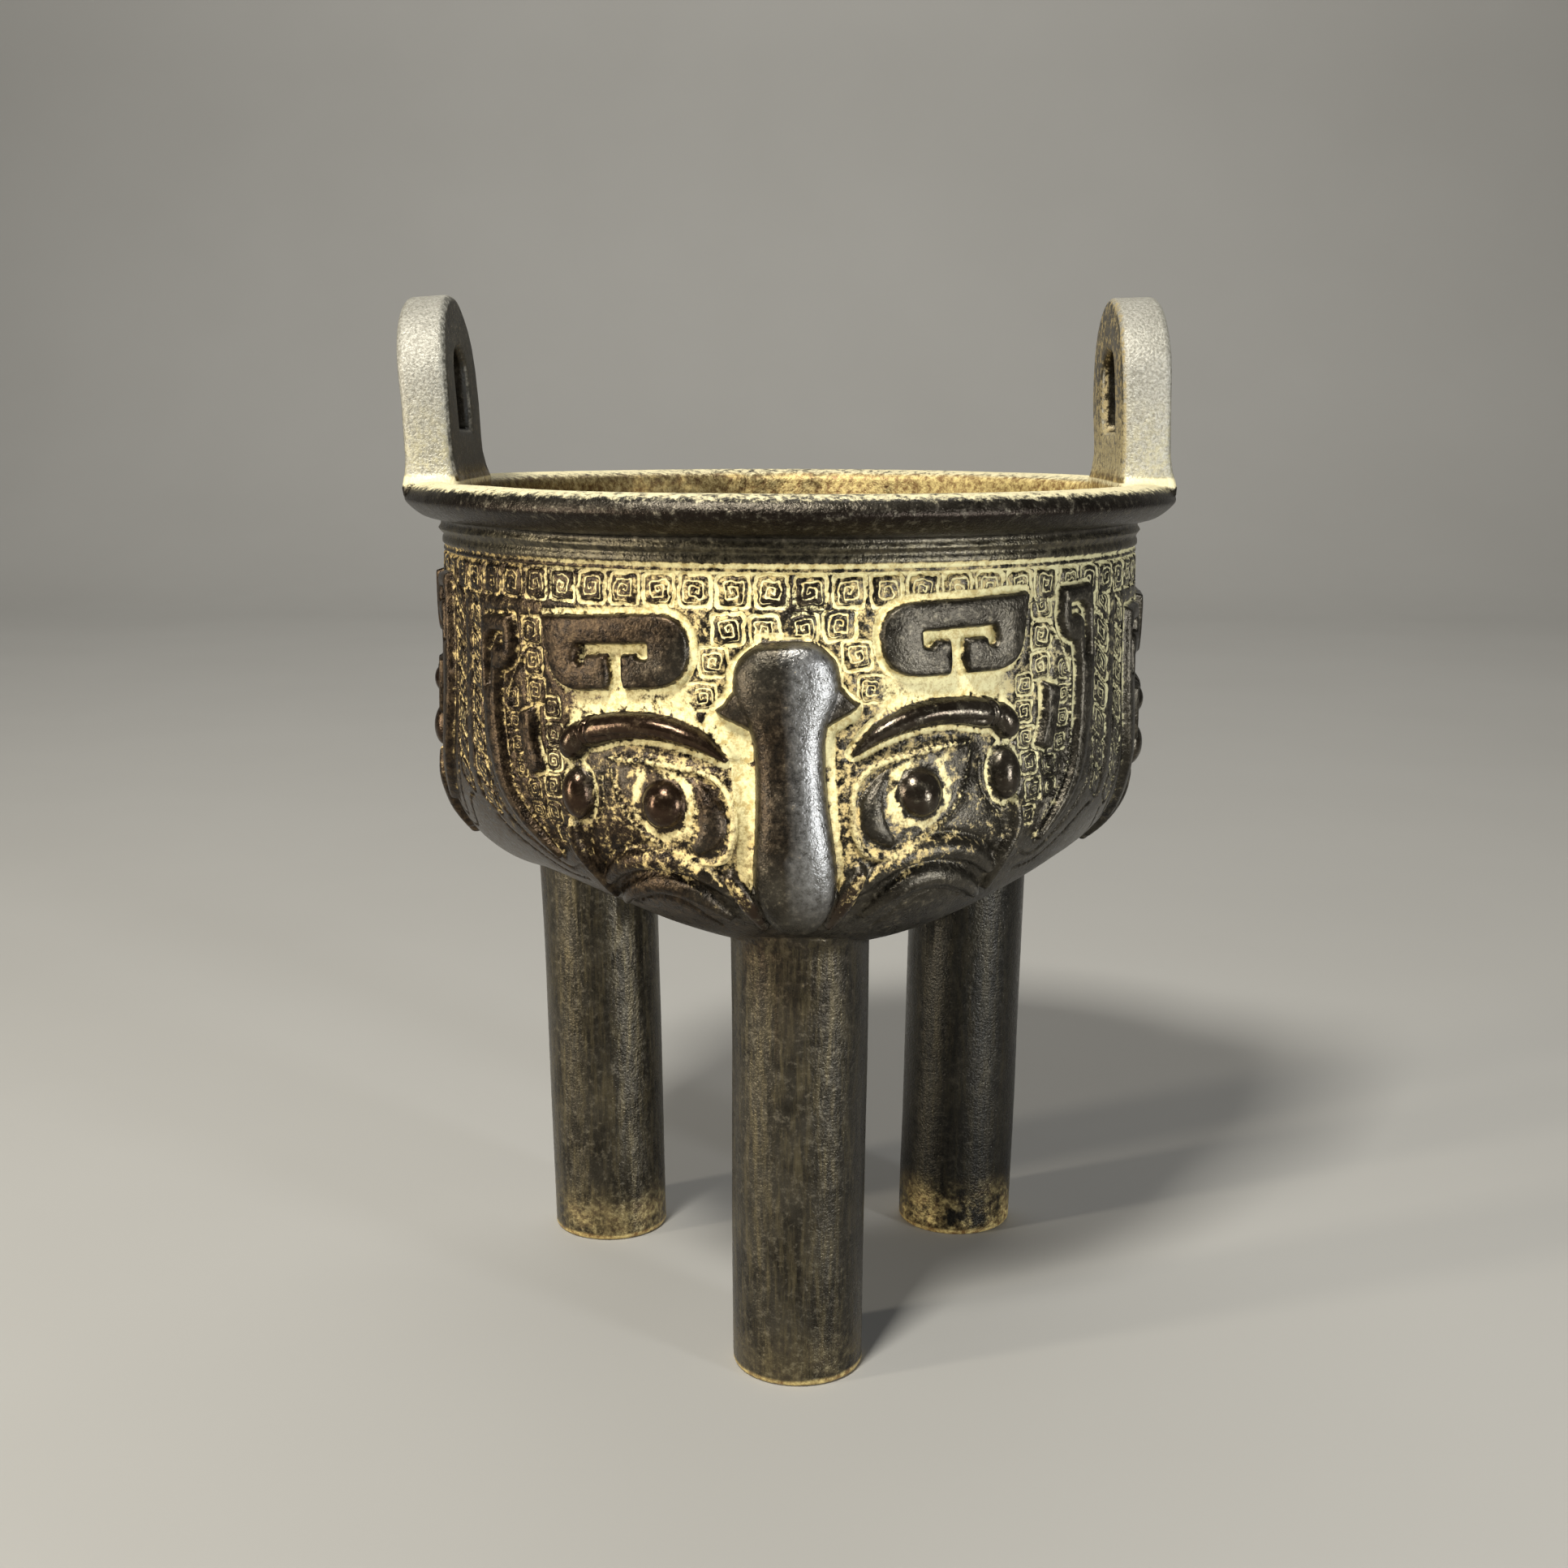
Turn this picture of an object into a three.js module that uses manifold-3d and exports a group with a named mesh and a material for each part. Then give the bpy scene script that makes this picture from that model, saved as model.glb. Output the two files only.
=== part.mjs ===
// Bronze tripod incense burner in the form of an archaic cauldron: a bowl with three low lobes, a thick rolled
// lip, two upright loop handles on the lip and three straight legs. An animal mask stands in relief over each leg.
// It is one casting, so it is one solid. Millimetres, +Z up, origin on the floor under the middle of the bowl.
// The handles stand on the X axis, and the mask and leg at the front face -Y.
import * as THREE from "three";
import { mergeVertices } from "three/addons/utils/BufferGeometryUtils.js";
import Module from "manifold-3d";

const wasm = await Module();
wasm.setup();
const radians = THREE.MathUtils.degToRad;

// Overall sizes
const legLength = 79; // floor to the underside of the bowl
const bowlHeight = 69; // underside of the bowl to the crest of the lip
const rimHeight = legLength + bowlHeight;

// Lip and neck
const lipRadius = 67.5;
const lipHeight = 6.6;
const neckRadius = 61.2;
const neckHeight = 4.6;
const neckStep = 0.6; // height of the step from the ornament out to the neck

// The lip from the neck out and up to its crest: [share of its overhang, share of its height]
const lipProfile = [
  [0, 0],
  [0.5, 0.12],
  [0.92, 0.42],
  [1, 0.62],
  [0.81, 0.9],
  [0.25, 1],
];

// Bowl
const shoulder = 0.2; // how far the top of the wall stands in from the neck
const wallFlare = 0.5; // how much wider the wall is at its foot than at its top
const wallTop = neckRadius - shoulder;
const wallFoot = wallTop + wallFlare;
const wallDrop = 34; // height of the upright wall
const turnAcross = 21.5; // how far the turn from wall to underside reaches inwards
const underBulge = 2; // how much lower the middle of the underside is than its edge
const wallThickness = 3.8;
const lobeSwellOut = 5; // how far a lobe swells over each leg
const lobeSink = 1.8; // how far the bowl sinks in between two legs
const lobeStart = 0.26; // where the lobes start, as a share of the way from the border line down to the axis
const lobeFull = 0.49; // where they are full
const lobeFade = 0.68; // where they start to fade
const lobeTurn = 4.6; // degrees that the lobes stand turned from the line of the handles
const mouthFlare = 1.2; // how much wider the mouth is than the inside of the wall
const mouthDepth = 1; // how far below the crest the mouth is measured

// Legs
const legCount = 3;
const legTopRadius = 11.3;
const footRadius = 11;
const footEdge = 0.7;
const legInset = 19.6; // from the outside of the wall in to the axis of a leg, under the bowl
const footInset = 2; // how much nearer to the middle the leg stands on the floor
const legTopReach = wallFoot - legInset;
const footReach = legTopReach - footInset;
const legRoot = 6; // how far a leg runs up into the bowl
const legTurn = 2.6; // degrees that the legs stand turned from the line of the handles

// Handles
const handleRise = 31.6; // top of a handle above the crest of the lip
const handleInset = 0.6; // from the face of the neck in to the middle of a handle
const handleRoot = 3.3; // how deep a handle is rooted in the lip
const handleThickness = 8.2;
const handleBaseWidth = 35;
const handleTopWidth = 33.8; // width where the arch starts
const handleArch = 14.5; // height of the arch
const handleBar = 10.5; // width of the bars beside the loop
const handleCrown = 9.2; // height of the arch over the loop
const handleSill = 8.5; // bottom of the loop above the crest of the lip
const handleEdge = 1;
const handleLean = { left: 4, right: -1.5 }; // degrees outwards, as the casting stands

// Relief heights over the ground of the ornament
const noseHeight = 3.8;
const hornHeight = 1.7;
const hookHeight = 1.4;
const browHeight = 2.5;
const eyeHeight = 3.3;
const bumpHeight = 2.5;
const socketHeight = 1;
const lipBandHeight = 1.8;
const tuskHeight = 2.3;
const reliefRoot = 0.9; // how deep the bars are rooted in the wall
const slabRoot = 2; // the same for the flat forms
const slabRise = 6; // how far a flat form reaches up before it is cut to its height
const maskTurn = 0.2; // degrees that the masks stand turned from the line of the handles
const maskTilt = 2.8; // degrees that each mask leans in its field

// Fineness of the faces
const ringSides = 36;
const legSides = 16;
const bumpSides = 6;
const bumpRings = 4;
const slabStep = 20; // longest straight side of a flat form before it is divided
const outsideSteps = [1, 5, 1];
const insideSteps = [1, 3, 1];

// The masks are drawn on a grid: 64 units from the middle of a mask to its side edge, and 109 units down from the
// border line under the neck to the middle of the underside. One unit is close to one millimetre.
const fieldHalfWidth = 64;
const fieldLength = 109;
const maskMiddle = 30;

// The outer line of the bowl, from the border line under the neck down to the axis
const borderHeight = rimHeight - lipHeight - neckHeight;
const wallFootHeight = borderHeight - wallDrop;
const turnDepth = wallFootHeight - legLength;

function outerLine(stepsOnWall, stepsOnTurn, stepsUnder) {
  const line = [];
  for (let i = 0; i < stepsOnWall; i++) {
    const t = i / stepsOnWall;
    line.push([THREE.MathUtils.lerp(wallTop, wallFoot, t), borderHeight - t * wallDrop]);
  }
  for (let i = 0; i < stepsOnTurn; i++) {
    const angle = ((i / stepsOnTurn) * Math.PI) / 2;
    const r = wallFoot - turnAcross * (1 - Math.cos(angle));
    line.push([r, wallFootHeight - turnDepth * Math.sin(angle)]);
  }
  for (let i = 0; i <= stepsUnder; i++) {
    const t = i / stepsUnder;
    line.push([(wallFoot - turnAcross) * (1 - t), legLength - underBulge * Math.sin((t * Math.PI) / 2)]);
  }
  return line;
}

const fineLine = outerLine(40, 60, 20);
const lineLength = [0];
for (let i = 1; i < fineLine.length; i++) {
  const step = Math.hypot(fineLine[i][0] - fineLine[i - 1][0], fineLine[i][1] - fineLine[i - 1][1]);
  lineLength.push(lineLength[i - 1] + step);
}
const wholeLength = lineLength.at(-1);

// Radius, height and outward normal of the outer line at a length down from the border line
function lineAt(length) {
  const wanted = THREE.MathUtils.clamp(length, 0, wholeLength);
  let i = 1;
  while (i < fineLine.length - 1 && lineLength[i] < wanted) i++;
  const [r0, z0] = fineLine[i - 1];
  const [r1, z1] = fineLine[i];
  const step = lineLength[i] - lineLength[i - 1];
  const t = (wanted - lineLength[i - 1]) / step;
  const normal = [(z0 - z1) / step, (r1 - r0) / step];
  return { r: THREE.MathUtils.lerp(r0, r1, t), z: THREE.MathUtils.lerp(z0, z1, t), normal };
}

// Swell of the lobes at an azimuth, counted from the middle of the front lobe
function lobeSwell(azimuth, length) {
  const share = length / wholeLength;
  const grown = THREE.MathUtils.smoothstep(share, lobeStart, lobeFull);
  const faded = THREE.MathUtils.smoothstep(share, lobeFade, 1);
  const weight = grown * (1 - faded);
  const wave = (1 + Math.cos(legCount * azimuth)) / 2;
  return weight * THREE.MathUtils.lerp(-lobeSink, lobeSwellOut, wave);
}

// A point over the bowl's outside: azimuth from the front mask's middle, length down the line, height over it
function onBowl(azimuth, length, height) {
  const { r, z, normal } = lineAt(length);
  const out = lobeSwell(azimuth + radians(maskTurn - lobeTurn), length) + height;
  const radius = r + out * normal[0];
  const turn = azimuth + radians(maskTurn) - Math.PI / 2;
  return new THREE.Vector3(radius * Math.cos(turn), radius * Math.sin(turn), z + out * normal[1]);
}

function flipFaces(geometry) {
  const index = geometry.index.array;
  for (let i = 0; i < index.length; i += 3) [index[i + 1], index[i + 2]] = [index[i + 2], index[i + 1]];
}

function toSolid(geometry, inverted = false) {
  const bare = new THREE.BufferGeometry();
  bare.setAttribute("position", geometry.getAttribute("position"));
  bare.setIndex(geometry.index);
  const merged = mergeVertices(bare, 1e-4);
  if (inverted) flipFaces(merged);
  const mesh = new wasm.Mesh({
    numProp: 3,
    vertProperties: new Float32Array(merged.attributes.position.array),
    triVerts: new Uint32Array(merged.index.array),
  });
  return new wasm.Manifold(mesh);
}

// A turned form with the bowl's lobes: each point is [radius, height, length down the line, height over the line],
// and the lobes act on the points that have a length.
function lobedTurning(points) {
  const lathe = new THREE.LatheGeometry(
    points.map(([r, z]) => new THREE.Vector2(r, z)),
    ringSides,
  );
  const position = lathe.getAttribute("position");
  for (let i = 0; i < position.count; i++) {
    const [r, z, length, height] = points[i % points.length];
    const side = Math.floor(i / points.length) % ringSides;
    const azimuth = (side / ringSides) * 2 * Math.PI;
    const turn = azimuth + radians(maskTurn) - Math.PI / 2;
    if (length !== undefined && r > 0) {
      const place = onBowl(azimuth, length, height);
      position.setXYZ(i, place.x, place.y, place.z);
    } else {
      position.setXYZ(i, r * Math.cos(turn), r * Math.sin(turn), z);
    }
  }
  return toSolid(lathe);
}

// Rings of the outer line, or of a line at a height over or under it, from the axis up to the border line
function bowlRings(height, steps = outsideSteps) {
  const rings = [];
  for (const [r, z] of outerLine(...steps)) {
    const nearest = fineLine.reduce(
      (best, [fr, fz], i) => {
        const gap = Math.hypot(fr - r, fz - z);
        return gap < best.gap ? { gap, i } : best;
      },
      { gap: Infinity, i: 0 },
    );
    const length = lineLength[nearest.i];
    rings.push(r > 0 ? [r, z, length, height] : [0, z + height * lineAt(wholeLength).normal[1]]);
  }
  return rings.reverse();
}

function makeOutside() {
  const lipBottom = rimHeight - lipHeight;
  const lip = lipProfile.map(([out, up]) => [
    THREE.MathUtils.lerp(neckRadius, lipRadius, out),
    lipBottom + lipHeight * up,
  ]);
  const mouthLevel = rimHeight - mouthDepth;
  return lobedTurning([
    ...bowlRings(0),
    [neckRadius, borderHeight + neckStep],
    ...lip,
    [neckRadius - wallThickness, mouthLevel],
    [0, mouthLevel],
  ]);
}

function makeHollow() {
  const mouth = neckRadius - wallThickness + mouthFlare;
  const above = rimHeight + lipHeight;
  const inside = bowlRings(-wallThickness, insideSteps);
  return lobedTurning([
    ...inside,
    [neckRadius - wallThickness, rimHeight - lipHeight],
    [mouth, rimHeight - mouthDepth],
    [mouth + lipHeight, above],
    [0, above],
  ]);
}

function makeLeg(index) {
  const top = legLength + legRoot;
  const lathe = new THREE.LatheGeometry(
    [
      new THREE.Vector2(0, 0),
      new THREE.Vector2(footRadius - footEdge, 0),
      new THREE.Vector2(footRadius, footEdge),
      new THREE.Vector2(legTopRadius, top),
      new THREE.Vector2(0, top),
    ],
    legSides,
  );
  lathe.rotateX(Math.PI / 2);
  const lean = (legTopReach - footReach) / legLength;
  lathe.applyMatrix4(new THREE.Matrix4().makeShear(0, 0, 0, 0, lean, 0));
  lathe.translate(footReach, 0, 0);
  lathe.rotateZ(radians(legTurn) - Math.PI / 2 + (index / legCount) * 2 * Math.PI);
  return toSolid(lathe);
}

function makeHandle(side) {
  const base = rimHeight - handleRoot;
  const archFoot = rimHeight + handleRise - handleArch;
  const outline = new THREE.Shape();
  outline.moveTo(handleBaseWidth / 2, base);
  outline.lineTo(handleTopWidth / 2, archFoot);
  outline.absellipse(0, archFoot, handleTopWidth / 2, handleArch, 0, Math.PI, false);
  outline.lineTo(-handleBaseWidth / 2, base);
  const loop = new THREE.Path();
  const loopBase = handleBaseWidth / 2 - handleBar;
  const loopTop = handleTopWidth / 2 - handleBar;
  const sill = rimHeight + handleSill;
  loop.moveTo(loopBase, sill);
  loop.lineTo(loopTop, archFoot);
  loop.absellipse(0, archFoot, loopTop, handleArch - handleCrown, 0, Math.PI, false);
  loop.lineTo(-loopBase, sill);
  outline.holes.push(loop);
  const bar = new THREE.ExtrudeGeometry(outline, {
    depth: handleThickness - 2 * handleEdge,
    bevelEnabled: true,
    bevelThickness: handleEdge,
    bevelSize: handleEdge,
    bevelOffset: -handleEdge,
    bevelSegments: 1,
    curveSegments: 5,
  });
  bar.translate(0, -base, handleEdge - handleThickness / 2);
  bar.rotateX(Math.PI / 2);
  bar.rotateZ(Math.PI / 2);
  const lean = side > 0 ? handleLean.right : handleLean.left;
  bar.rotateY(radians(side * lean));
  bar.translate(side * (neckRadius - handleInset), 0, base);
  return toSolid(indexed(bar));
}

function indexed(geometry) {
  const bare = new THREE.BufferGeometry();
  bare.setAttribute("position", geometry.getAttribute("position"));
  return mergeVertices(bare, 1e-4);
}

// Lays a form drawn in mask units (across, down, height in millimetres) on the bowl, on one side of a mask
function onMask(geometry, mask, side) {
  const tilt = radians(maskTilt);
  const laid = indexed(geometry);
  const position = laid.getAttribute("position");
  for (let i = 0; i < position.count; i++) {
    const across = side * position.getX(i);
    const down = position.getY(i) - maskMiddle;
    const tiltedAcross = across * Math.cos(tilt) + down * Math.sin(tilt);
    const tiltedDown = down * Math.cos(tilt) - across * Math.sin(tilt) + maskMiddle;
    const azimuth = ((tiltedAcross / fieldHalfWidth) * Math.PI) / legCount + (mask / legCount) * 2 * Math.PI;
    const place = onBowl(azimuth, (tiltedDown / fieldLength) * wholeLength, position.getZ(i));
    position.setXYZ(i, place.x, place.y, place.z);
  }
  return toSolid(laid, side > 0);
}

// A raised bar along a path over the mask, half an ellipse in section. Width and height are given at the path's
// points.
function ridgeForm(points, height, stations, arcSteps) {
  const curve = new THREE.SplineCurve(points.map(([across, down]) => new THREE.Vector2(across, down)));
  const shareAt = (t, column) => {
    const place = t * (points.length - 1);
    const i = Math.min(Math.floor(place), points.length - 2);
    return THREE.MathUtils.lerp(points[i][column], points[i + 1][column], place - i);
  };
  const ringSize = arcSteps + 1;
  const places = [];
  const faces = [];
  for (let i = 0; i <= stations; i++) {
    const t = i / stations;
    const middle = curve.getPoint(t);
    const along = curve.getTangent(t);
    const halfWidth = shareAt(t, 2);
    const rise = height * shareAt(t, 3) + reliefRoot;
    for (let k = 0; k <= arcSteps; k++) {
      const angle = (k / arcSteps) * Math.PI;
      const aside = halfWidth * Math.cos(angle);
      const up = rise * Math.sin(angle) - reliefRoot;
      places.push(middle.x - along.y * aside, middle.y + along.x * aside, up);
    }
    for (let k = 0; k < ringSize && i < stations; k++) {
      const a = i * ringSize + k;
      const b = i * ringSize + ((k + 1) % ringSize);
      faces.push(a, b, a + ringSize, b, b + ringSize, a + ringSize);
    }
  }
  const last = stations * ringSize;
  for (let k = 1; k < arcSteps; k++) {
    faces.push(0, k + 1, k);
    faces.push(last, last + k, last + k + 1);
  }
  const form = new THREE.BufferGeometry();
  form.setAttribute("position", new THREE.Float32BufferAttribute(places, 3));
  form.setIndex(faces);
  return form.toNonIndexed();
}

// A rounded bump: middle across and down, half width, half length, height, and its turn in degrees
function bumpForm([across, down, halfWidth, halfLength, height, turn = 0]) {
  const ball = new THREE.SphereGeometry(1, bumpSides, bumpRings).toNonIndexed();
  ball.rotateX(Math.PI / 2);
  ball.scale(halfWidth, halfLength, height);
  ball.rotateZ(radians(turn));
  ball.translate(across, down, 0);
  return ball;
}

// An upright-walled form of an outline, cut off where it meets the raised skin
function slabForm(outline) {
  const corners = outline.getPoints(2);
  const close = [];
  corners.forEach((corner, i) => {
    const next = corners[(i + 1) % corners.length];
    const pieces = Math.max(1, Math.ceil(corner.distanceTo(next) / slabStep));
    for (let k = 0; k < pieces; k++) close.push(corner.clone().lerp(next, k / pieces));
  });
  const slab = new THREE.ExtrudeGeometry(new THREE.Shape(close), { depth: slabRoot + slabRise, bevelEnabled: false });
  slab.translate(0, 0, -slabRoot);
  return slab;
}

function polygon(points) {
  return new THREE.Shape(points.map(([across, down]) => new THREE.Vector2(across, down)));
}

// The flat horn over the brow: a block with one sharp upper corner, cut by a T-shaped slot that opens downwards
function hornOutline() {
  const horn = new THREE.Shape();
  horn.moveTo(40.2, 6.2);
  horn.lineTo(38.9, 13);
  horn.quadraticCurveTo(38.2, 17.4, 33.5, 17.6);
  horn.lineTo(20.5, 17.2);
  horn.quadraticCurveTo(14.4, 17, 14.4, 11.2);
  horn.quadraticCurveTo(14.4, 6.1, 19.6, 6);
  return horn;
}

const hornSlot = [
  [21, 10.4],
  [33.4, 10.5],
  [33.7, 13.2],
  [32.2, 13.6],
  [31.7, 12.2],
  [28, 12.1],
  [27.9, 15],
  [30, 19],
  [24, 19],
  [25.5, 15],
  [25.5, 12.1],
  [23, 12],
  [22.6, 13],
  [21, 12.8],
];

// The long hook that frames the mask, from its curled head down to its tail beside the jaw
function hookOutline() {
  const hook = new THREE.Shape();
  hook.moveTo(55.8, 6.4);
  hook.lineTo(56.4, 18.5);
  hook.quadraticCurveTo(55.8, 28, 53.6, 34.5);
  hook.quadraticCurveTo(51, 40.5, 43.6, 46.5);
  hook.lineTo(42.8, 45.4);
  hook.quadraticCurveTo(49.3, 38.4, 50.6, 33.5);
  hook.quadraticCurveTo(52.2, 27, 52.2, 19);
  hook.lineTo(51.6, 15.2);
  hook.quadraticCurveTo(47.4, 14.8, 47.4, 10.4);
  hook.lineTo(48, 6.4);
  return hook;
}

const hookSlot = [
  [49.8, 9],
  [54.4, 9.4],
  [54.9, 17.6],
  [53.6, 17.6],
  [52.8, 11.2],
  [49.8, 11],
];

const sidePost = [
  [43.4, 20.6],
  [46.6, 21.6],
  [46, 28],
  [44.4, 31.4],
  [41.8, 30.4],
];

// The small flap that stands out beside the nose's head
const noseFlap = [
  [6.5, 16.4],
  [8.6, 18.4],
  [10.9, 20.6],
  [10.2, 21.8],
  [7.6, 23],
  [5, 24.4],
];

// Bars in relief, each point [across, down, half width, share of the height]
const nosePath = [
  [0, 10.6, 3.4, 0.5],
  [0, 12.2, 6, 0.8],
  [0, 14.4, 7.7, 0.97],
  [0, 18.6, 8, 1],
  [0, 22.2, 6.5, 1],
  [0, 26, 5.4, 1],
  [0, 36, 5.4, 1],
  [0, 44, 6.2, 1],
  [0, 49, 5.6, 0.95],
  [0, 53, 3, 0.7],
];
const browPath = [
  [9.8, 28.1, 0.5, 0.5],
  [14, 25.1, 1.6, 0.85],
  [20, 23.2, 2, 1],
  [26, 23, 2.1, 1],
  [31.8, 24, 2.4, 1],
];
const upperLipPath = [
  [9.6, 47.4, 1, 0.6],
  [15, 43.9, 1.5, 1],
  [22, 43.1, 1.6, 1],
  [28, 44.6, 1.6, 1],
  [32.4, 48, 1.2, 0.8],
];
const lowerLipPath = [
  [11, 51.6, 1, 0.6],
  [16, 47.9, 1.5, 1],
  [22, 47.1, 1.6, 1],
  [28, 49.6, 1.4, 1],
  [31.6, 53, 1, 0.7],
];
const jawPath = [
  [36.6, 38.4, 0.9, 0.7],
  [37, 42.5, 1.3, 1],
  [34.4, 47.6, 1.3, 1],
  [33.6, 52, 0.8, 0.7],
];
const tuskPath = [
  [5.2, 52.4, 1.1, 0.8],
  [7.2, 48.6, 1.8, 1],
  [9.6, 45, 1.2, 0.8],
];

// Bumps: across, down, half width, half length, height, turn
const bumps = [
  [18.9, 35.1, 11.6, 6, socketHeight, -36],
  [19.4, 34.6, 3.6, 3.7, eyeHeight],
  [35, 25.6, 2.3, 3.2, bumpHeight, -35],
  [34.8, 33.8, 2.8, 4.1, bumpHeight],
];

function addHalfMask(bowl, skins, mask, side) {
  const flat = (outline, height) => onMask(slabForm(outline), mask, side).intersect(skins.get(height));
  const horn = flat(hornOutline(), hornHeight).subtract(onMask(slabForm(polygon(hornSlot)), mask, side));
  const hook = flat(hookOutline(), hookHeight).subtract(onMask(slabForm(polygon(hookSlot)), mask, side));
  const post = flat(polygon(sidePost), hookHeight);
  const flap = flat(polygon(noseFlap), hornHeight);
  let made = bowl.add(horn).add(hook).add(post).add(flap);
  const bars = [
    ridgeForm(browPath, browHeight, 4, 3),
    ridgeForm(upperLipPath, lipBandHeight, 3, 2),
    ridgeForm(lowerLipPath, lipBandHeight, 3, 2),
    ridgeForm(jawPath, lipBandHeight, 3, 2),
    ridgeForm(tuskPath, tuskHeight, 3, 3),
    ...bumps.map(bumpForm),
  ];
  for (const bar of bars) made = made.add(onMask(bar, mask, side));
  return made;
}

function skinAt(height) {
  return lobedTurning([...bowlRings(height), [0, borderHeight]]);
}

function makeBurner() {
  let burner = makeOutside();
  for (let i = 0; i < legCount; i++) burner = burner.add(makeLeg(i));
  const skins = new Map([hornHeight, hookHeight].map((height) => [height, skinAt(height)]));
  for (let mask = 0; mask < legCount; mask++) {
    burner = burner.add(onMask(ridgeForm(nosePath, noseHeight, 8, 4), mask, 1));
    for (const side of [-1, 1]) burner = addHalfMask(burner, skins, mask, side);
  }
  burner = burner.subtract(makeHollow());
  for (const side of [-1, 1]) burner = burner.add(makeHandle(side));
  return burner;
}

function toMesh(solid, name, material) {
  const { vertProperties, triVerts, numProp } = solid.getMesh();
  const position = new Float32Array((vertProperties.length / numProp) * 3);
  for (let i = 0; i < position.length / 3; i++) {
    position.set(vertProperties.subarray(i * numProp, i * numProp + 3), i * 3);
  }
  const geometry = new THREE.BufferGeometry();
  geometry.setAttribute("position", new THREE.BufferAttribute(position, 3));
  geometry.setIndex(new THREE.BufferAttribute(triVerts, 1));
  geometry.computeVertexNormals();
  const mesh = new THREE.Mesh(geometry, material);
  mesh.name = name;
  return mesh;
}

const bronze = new THREE.MeshStandardMaterial({ color: 0x3a332a, roughness: 0.45, metalness: 0.85 });

const burner = new THREE.Group();
burner.add(toMesh(makeBurner(), "incense_burner", bronze));

export default burner;
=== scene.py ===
import math

import bmesh
import bpy
import numpy as np
from mathutils import Matrix, Vector


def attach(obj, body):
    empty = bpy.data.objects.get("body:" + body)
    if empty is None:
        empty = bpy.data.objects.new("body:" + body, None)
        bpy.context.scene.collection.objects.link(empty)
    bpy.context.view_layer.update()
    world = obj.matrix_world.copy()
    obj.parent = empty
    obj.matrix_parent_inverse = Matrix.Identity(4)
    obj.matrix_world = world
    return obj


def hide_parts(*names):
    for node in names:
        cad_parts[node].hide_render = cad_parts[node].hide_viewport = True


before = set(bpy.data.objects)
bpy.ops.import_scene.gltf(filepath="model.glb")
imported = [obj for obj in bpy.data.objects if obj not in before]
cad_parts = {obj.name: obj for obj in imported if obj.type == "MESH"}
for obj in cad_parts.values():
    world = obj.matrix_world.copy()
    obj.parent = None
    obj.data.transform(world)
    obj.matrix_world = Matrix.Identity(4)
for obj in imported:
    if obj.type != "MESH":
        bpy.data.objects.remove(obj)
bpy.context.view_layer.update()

# The bowl: a cast bronze vessel with three low lobes, one over each leg.
# Its outside, lip and inside are one turned surface, in millimetres until the mesh is written.
# Lengths along the outside are counted down from the border line under the neck.
MM = 0.001
LEG_LENGTH = 79.0
RIM = 148.0
LIP_RADIUS, LIP_HEIGHT = 67.5, 6.6
NECK_RADIUS, NECK_HEIGHT, NECK_STEP = 61.2, 4.6, 0.6
LIP_PROFILE = [(0, 0), (0.5, 0.12), (0.92, 0.42), (1, 0.62), (0.81, 0.9), (0.25, 1)]
WALL_TOP, WALL_FOOT, WALL_DROP = 61.0, 61.5, 34.0
TURN_ACROSS, UNDER_BULGE = 21.5, 2.0
WALL = 3.8
MOUTH_FLARE, MOUTH_DEPTH = 1.2, 1.0
SWELL_OUT, SWELL_IN = 5.0, 1.8
LOBE_START, LOBE_FULL, LOBE_FADE = 0.26, 0.49, 0.68
LEGS = 3
MASK_TURN, LEG_TURN, LOBE_TURN = math.radians(0.2), math.radians(2.6), math.radians(4.6)
BORDER = RIM - LIP_HEIGHT - NECK_HEIGHT
FOOT_OF_WALL = BORDER - WALL_DROP
TURN_DEPTH = FOOT_OF_WALL - LEG_LENGTH
WALL_STEPS, TURN_STEPS, UNDER_STEPS = 60, 120, 60


def smooth(start, end, value):
    t = np.clip((value - start) / (end - start), 0, 1)
    return t * t * (3 - 2 * t)


def mix(a, b, t):
    return a + (b - a) * t


def outer_line():
    t = np.linspace(0, 1, WALL_STEPS, endpoint=False)
    a = np.linspace(0, math.pi / 2, TURN_STEPS, endpoint=False)
    u = np.linspace(0, 1, UNDER_STEPS)
    turned_in = WALL_FOOT - TURN_ACROSS
    r = np.concatenate([
        mix(WALL_TOP, WALL_FOOT, t),
        WALL_FOOT - TURN_ACROSS * (1 - np.cos(a)),
        turned_in * (1 - u),
    ])
    z = np.concatenate([
        BORDER - t * WALL_DROP,
        FOOT_OF_WALL - TURN_DEPTH * np.sin(a),
        LEG_LENGTH - UNDER_BULGE * np.sin(u * math.pi / 2),
    ])
    return r, z


LINE_R, LINE_Z = outer_line()
LINE_S = np.concatenate([[0], np.cumsum(np.hypot(np.diff(LINE_R), np.diff(LINE_Z)))])
LENGTH = LINE_S[-1]
NORMAL_R = -np.gradient(LINE_Z, LINE_S)
NORMAL_Z = np.gradient(LINE_R, LINE_S)


def swell(azimuth, length):
    share = np.clip(length, 0, LENGTH) / LENGTH
    weight = smooth(LOBE_START, LOBE_FULL, share) * (1 - smooth(LOBE_FADE, 1, share))
    return weight * mix(-SWELL_IN, SWELL_OUT, (1 + np.cos(LEGS * azimuth)) / 2)


def on_bowl(azimuth, length, height):
    out = swell(azimuth + MASK_TURN - LOBE_TURN, length) + height
    neck = smooth(0, -NECK_STEP, length)
    base = mix(np.interp(length, LINE_S, LINE_R), NECK_RADIUS, neck)
    r = base + out * np.interp(length, LINE_S, NORMAL_R)
    z = np.interp(length, LINE_S, LINE_Z) + out * np.interp(length, LINE_S, NORMAL_Z)
    return r, z - np.minimum(length, 0)


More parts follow.
